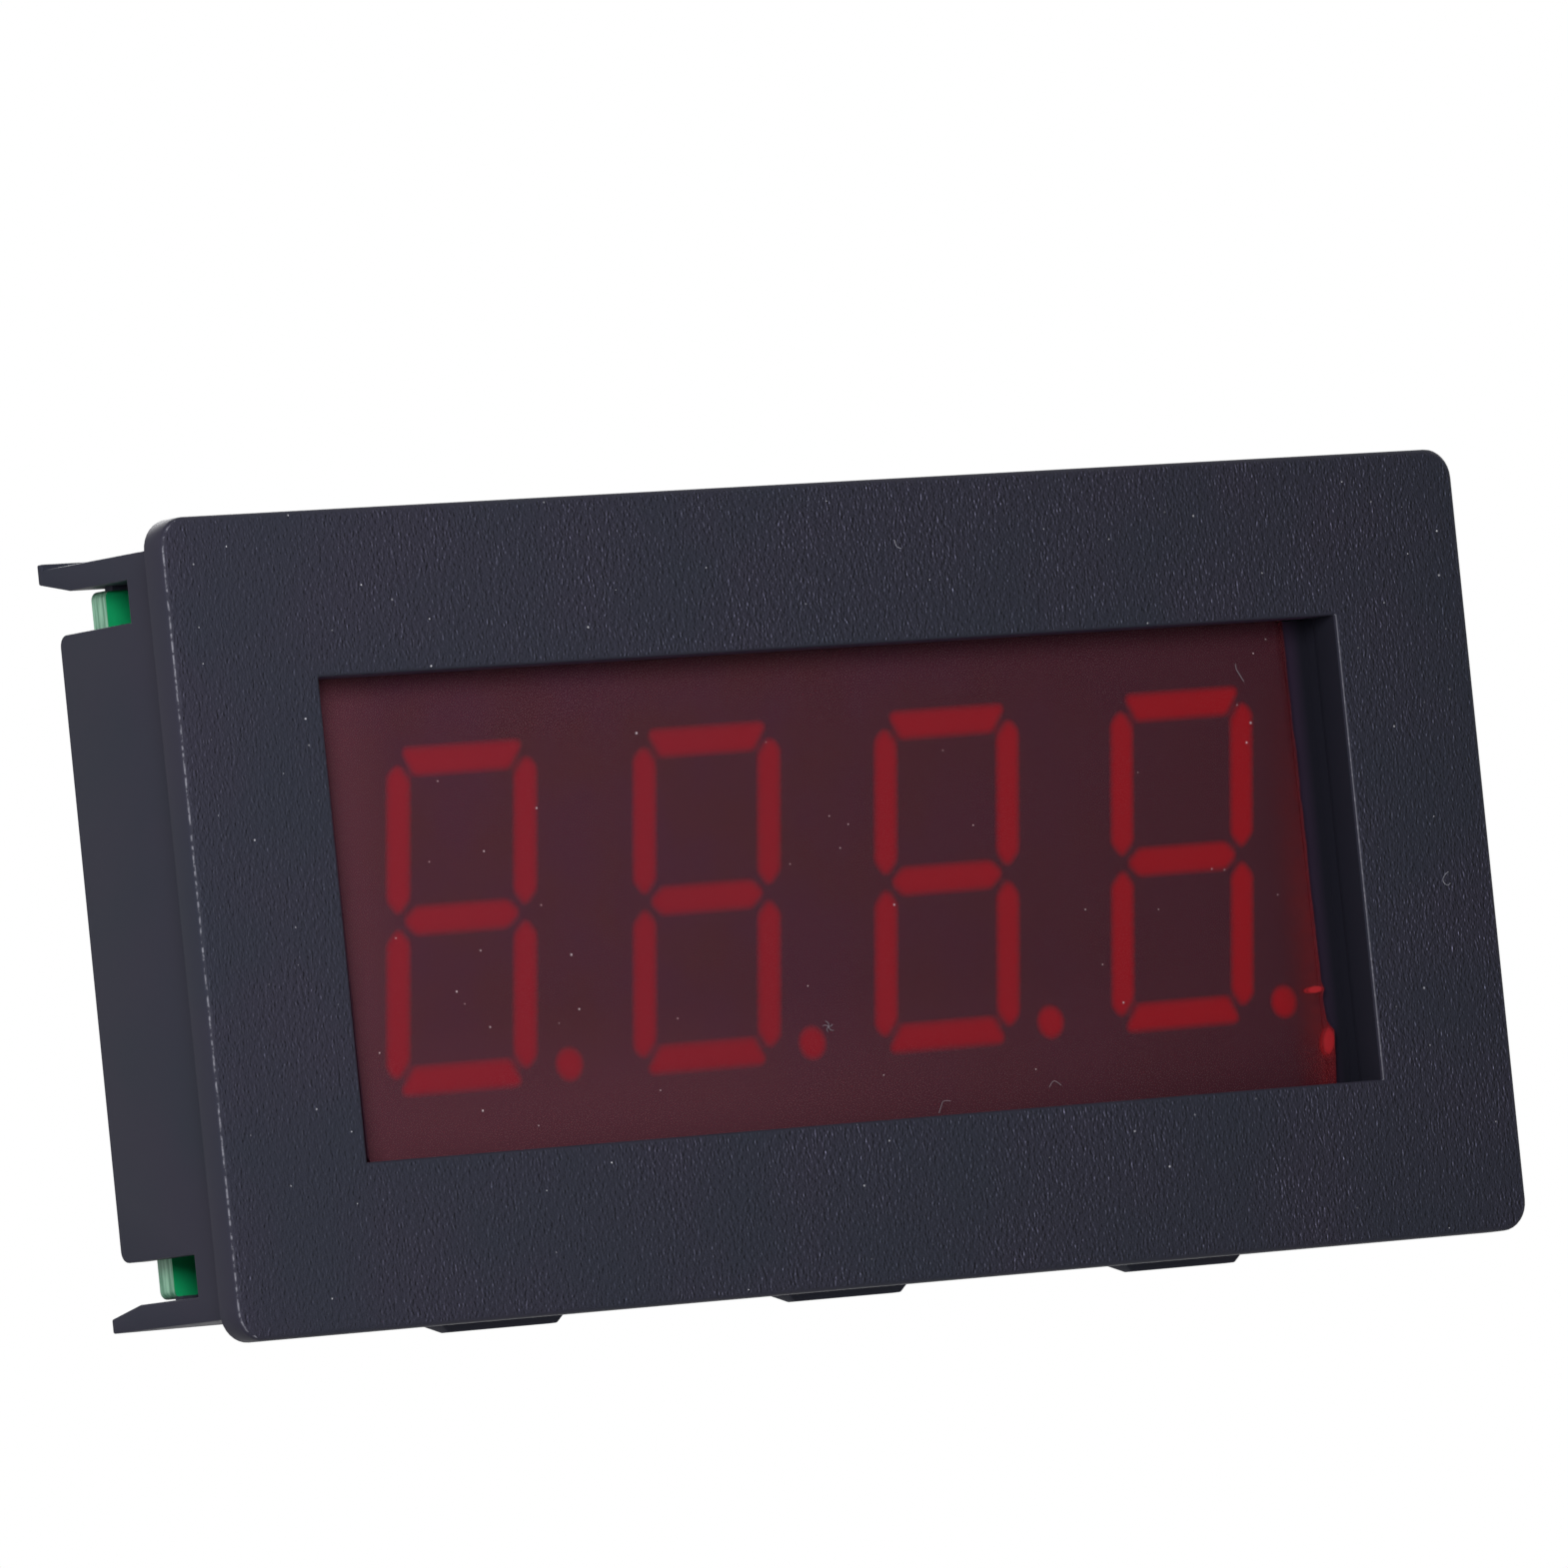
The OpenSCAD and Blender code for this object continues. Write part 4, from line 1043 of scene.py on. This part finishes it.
bpy.ops.mesh.bisect(plane_co=(1.1 * mm, 0, 0), plane_no=(1, 0, 0), clear_inner=True, use_fill=True)
close_mesh()
marks = copies("can_marks", mark, can_places)
print_black = mottled("black print on aluminium", "#26262a", "#323238", 0.4, 0.5)
fit(marks, print_black, "black_abs")
bases = []
for low, high in solids("capacitor_bases"):
    base = block("can_base", low, high)
    open_mesh(base)
    select(base, "EDGE", lambda c, d: abs(d.y) > 0.9 and c.z < (low.z + high.z) / 2)
    bevel(1.32)
    close_mesh()
    soften(base, 0.1)
    bases.append(base)
feet = joined("can_bases", bases)
phenolic = mottled("black moulded phenolic", "#1a1a1c", "#242427", 0.6, 0.5, depth=0.01)
fit(feet, phenolic, "black_abs", "capacitor_bases")


# Ceramic capacitors and resistors: small sintered blocks, dipped at both ends in tin. The
# capacitors are bare tan ceramic, and the resistors are black glass over white alumina.
def dipped(node, name, side_in, cap_l):
    """Models the bodies and the tinned ends of the chip parts of a CAD node."""
    bodies, caps = [], []
    for low, high in solids(node):
        long = 0 if high.x - low.x > high.z - low.z else 2
        inner_low, inner_high = low.copy(), high.copy()
        inner_low[long] += cap_l / 2
        inner_high[long] -= cap_l / 2
        inner_low[2 - long] += side_in
        inner_high[2 - long] -= side_in
        inner_high.y -= side_in
        body = block(name, inner_low, inner_high)
        soften(body, 0.05)
        bodies.append(body)
        for left in (low[long], high[long] - cap_l):
            cap_low, cap_high = low.copy(), high.copy()
            cap_low[long], cap_high[long] = left, left + cap_l
            cap = block("cap", cap_low, cap_high)
            soften(cap, 0.08)
            caps.append(cap)
    return joined(name + "_bodies", bodies), joined(name + "_ends", caps)


ceramic = mottled("tan sintered ceramic", "#a5825a", "#b8956c", 0.4, 0.6, depth=0.01)
glass = mottled("black overglaze", "#141417", "#1c1c20", 0.5, 0.25)
for node, name, material, slot in (("ceramic_capacitors", "ceramic", ceramic, "ceramic"),
                                   ("resistors", "resistor", glass, "resistor_black")):
    bodies, caps = dipped(node, name, 0.04, 0.4)
    fit(bodies, material, slot, node)
    fit(caps, tin, "tinned_metal", node)


# Headers: a moulded strip, notched between its pins, holds square pins with pointed tips. The
# signal pins are gold plated in black, the power pins tinned in white with a latch wall.
def strip(name, node, count):
    """Models the notched strip of a header around its pins."""
    low, high = span(node)
    centre = (low.z + high.z) / 2
    x = middle_of(node.replace("base", "pins"))[0]
    half, notch, tall = 1.27, 0.35, 2.5
    base = block(name, (x - half, low.y, centre - count * half),
                 (x + half, low.y + tall, centre + count * half))
    open_mesh(base)
    cuts = [centre + (k - (count - 2) / 2) * 2 * half for k in range(count - 1)]
    for z in cuts:
        for offset in (-notch, 0, notch):
            slice_mesh(2, z + offset)
    for side in (-1, 1):
        select(base, "VERT", lambda p: min(abs(p.z - z) for z in cuts) < 0.01
               and (p.x - x) * side > 1)
        shift(-side * notch, 0, 0)
    select(base, "EDGE", lambda c, d: abs(d.y) > 0.9
           and abs(abs(c.z - centre) - count * half) < 0.01)
    bevel(notch)
    close_mesh()
    soften(base, 0.06)
    return base


def pins(name, node):
    """Models the pins of a header, square and pointed behind and round in the board."""
    parts = []
    for low, high in solids(node):
        x, z = (low.x + high.x) / 2, (low.z + high.z) / 2
        half, point = 0.32, 0.6
        pin = block(name, (x - half, rear, z - half), (x + half, high.y, z + half))
        open_mesh(pin)
        slice_mesh(1, high.y - point)
        select(pin, "VERT", lambda p: p.y > high.y - 0.01)
        bpy.ops.transform.resize(value=(0.4, 1, 0.4))
        close_mesh()
        soften(pin, 0.04)
        tail = disc("tail", x, z, low.y, rear + 0.1, half, 16)
        soften(tail, 0.05)
        parts.extend([pin, tail])
    return joined(name, parts)


black_strip = strip("signal_strip", "signal_header_base", 6)
black_nylon = mottled("black glass filled nylon", "#17171a", "#202024", 0.5, 0.5, depth=0.02)
fit(black_strip, black_nylon, "black_abs", "signal_header_base")
signal_pins = pins("signal_pins", "signal_header_pins")
gold = mottled("gold plate on brass", "#c9a04e", "#dcb660", 0.8, 0.24, metallic=1, depth=0.006)
fit(signal_pins, gold, "gold_plate", "signal_header_pins")
white_strip = strip("power_strip", "power_header_base", 2)
low, high = span("power_header_base")
latch_w, hook, hook_start, hook_end = 1.05, 0.4, high.y - 1.1, high.y - 0.5
latch = block("latch", low, (low.x + latch_w, high.y, high.z))
open_mesh(latch)
slice_mesh(1, hook_start)
slice_mesh(1, hook_end)
select(latch, "FACE", lambda c, n: n.x > 0.9 and hook_start < c.y < hook_end)
extrude(hook, 0, 0)
close_mesh()
soften(latch, 0.1)
combine(white_strip, latch, "UNION")
soften(white_strip, 0)
nylon = mottled("white nylon", "#dcdacf", "#e9e7dc", 1.5, 0.42, depth=0.01)
fit(white_strip, nylon, "white_nylon", "power_header_base")
power_pins = pins("power_pins", "power_header_pins")
fit(power_pins, tin, "tinned_metal", "power_header_pins")

bpy.context.view_layer.update()
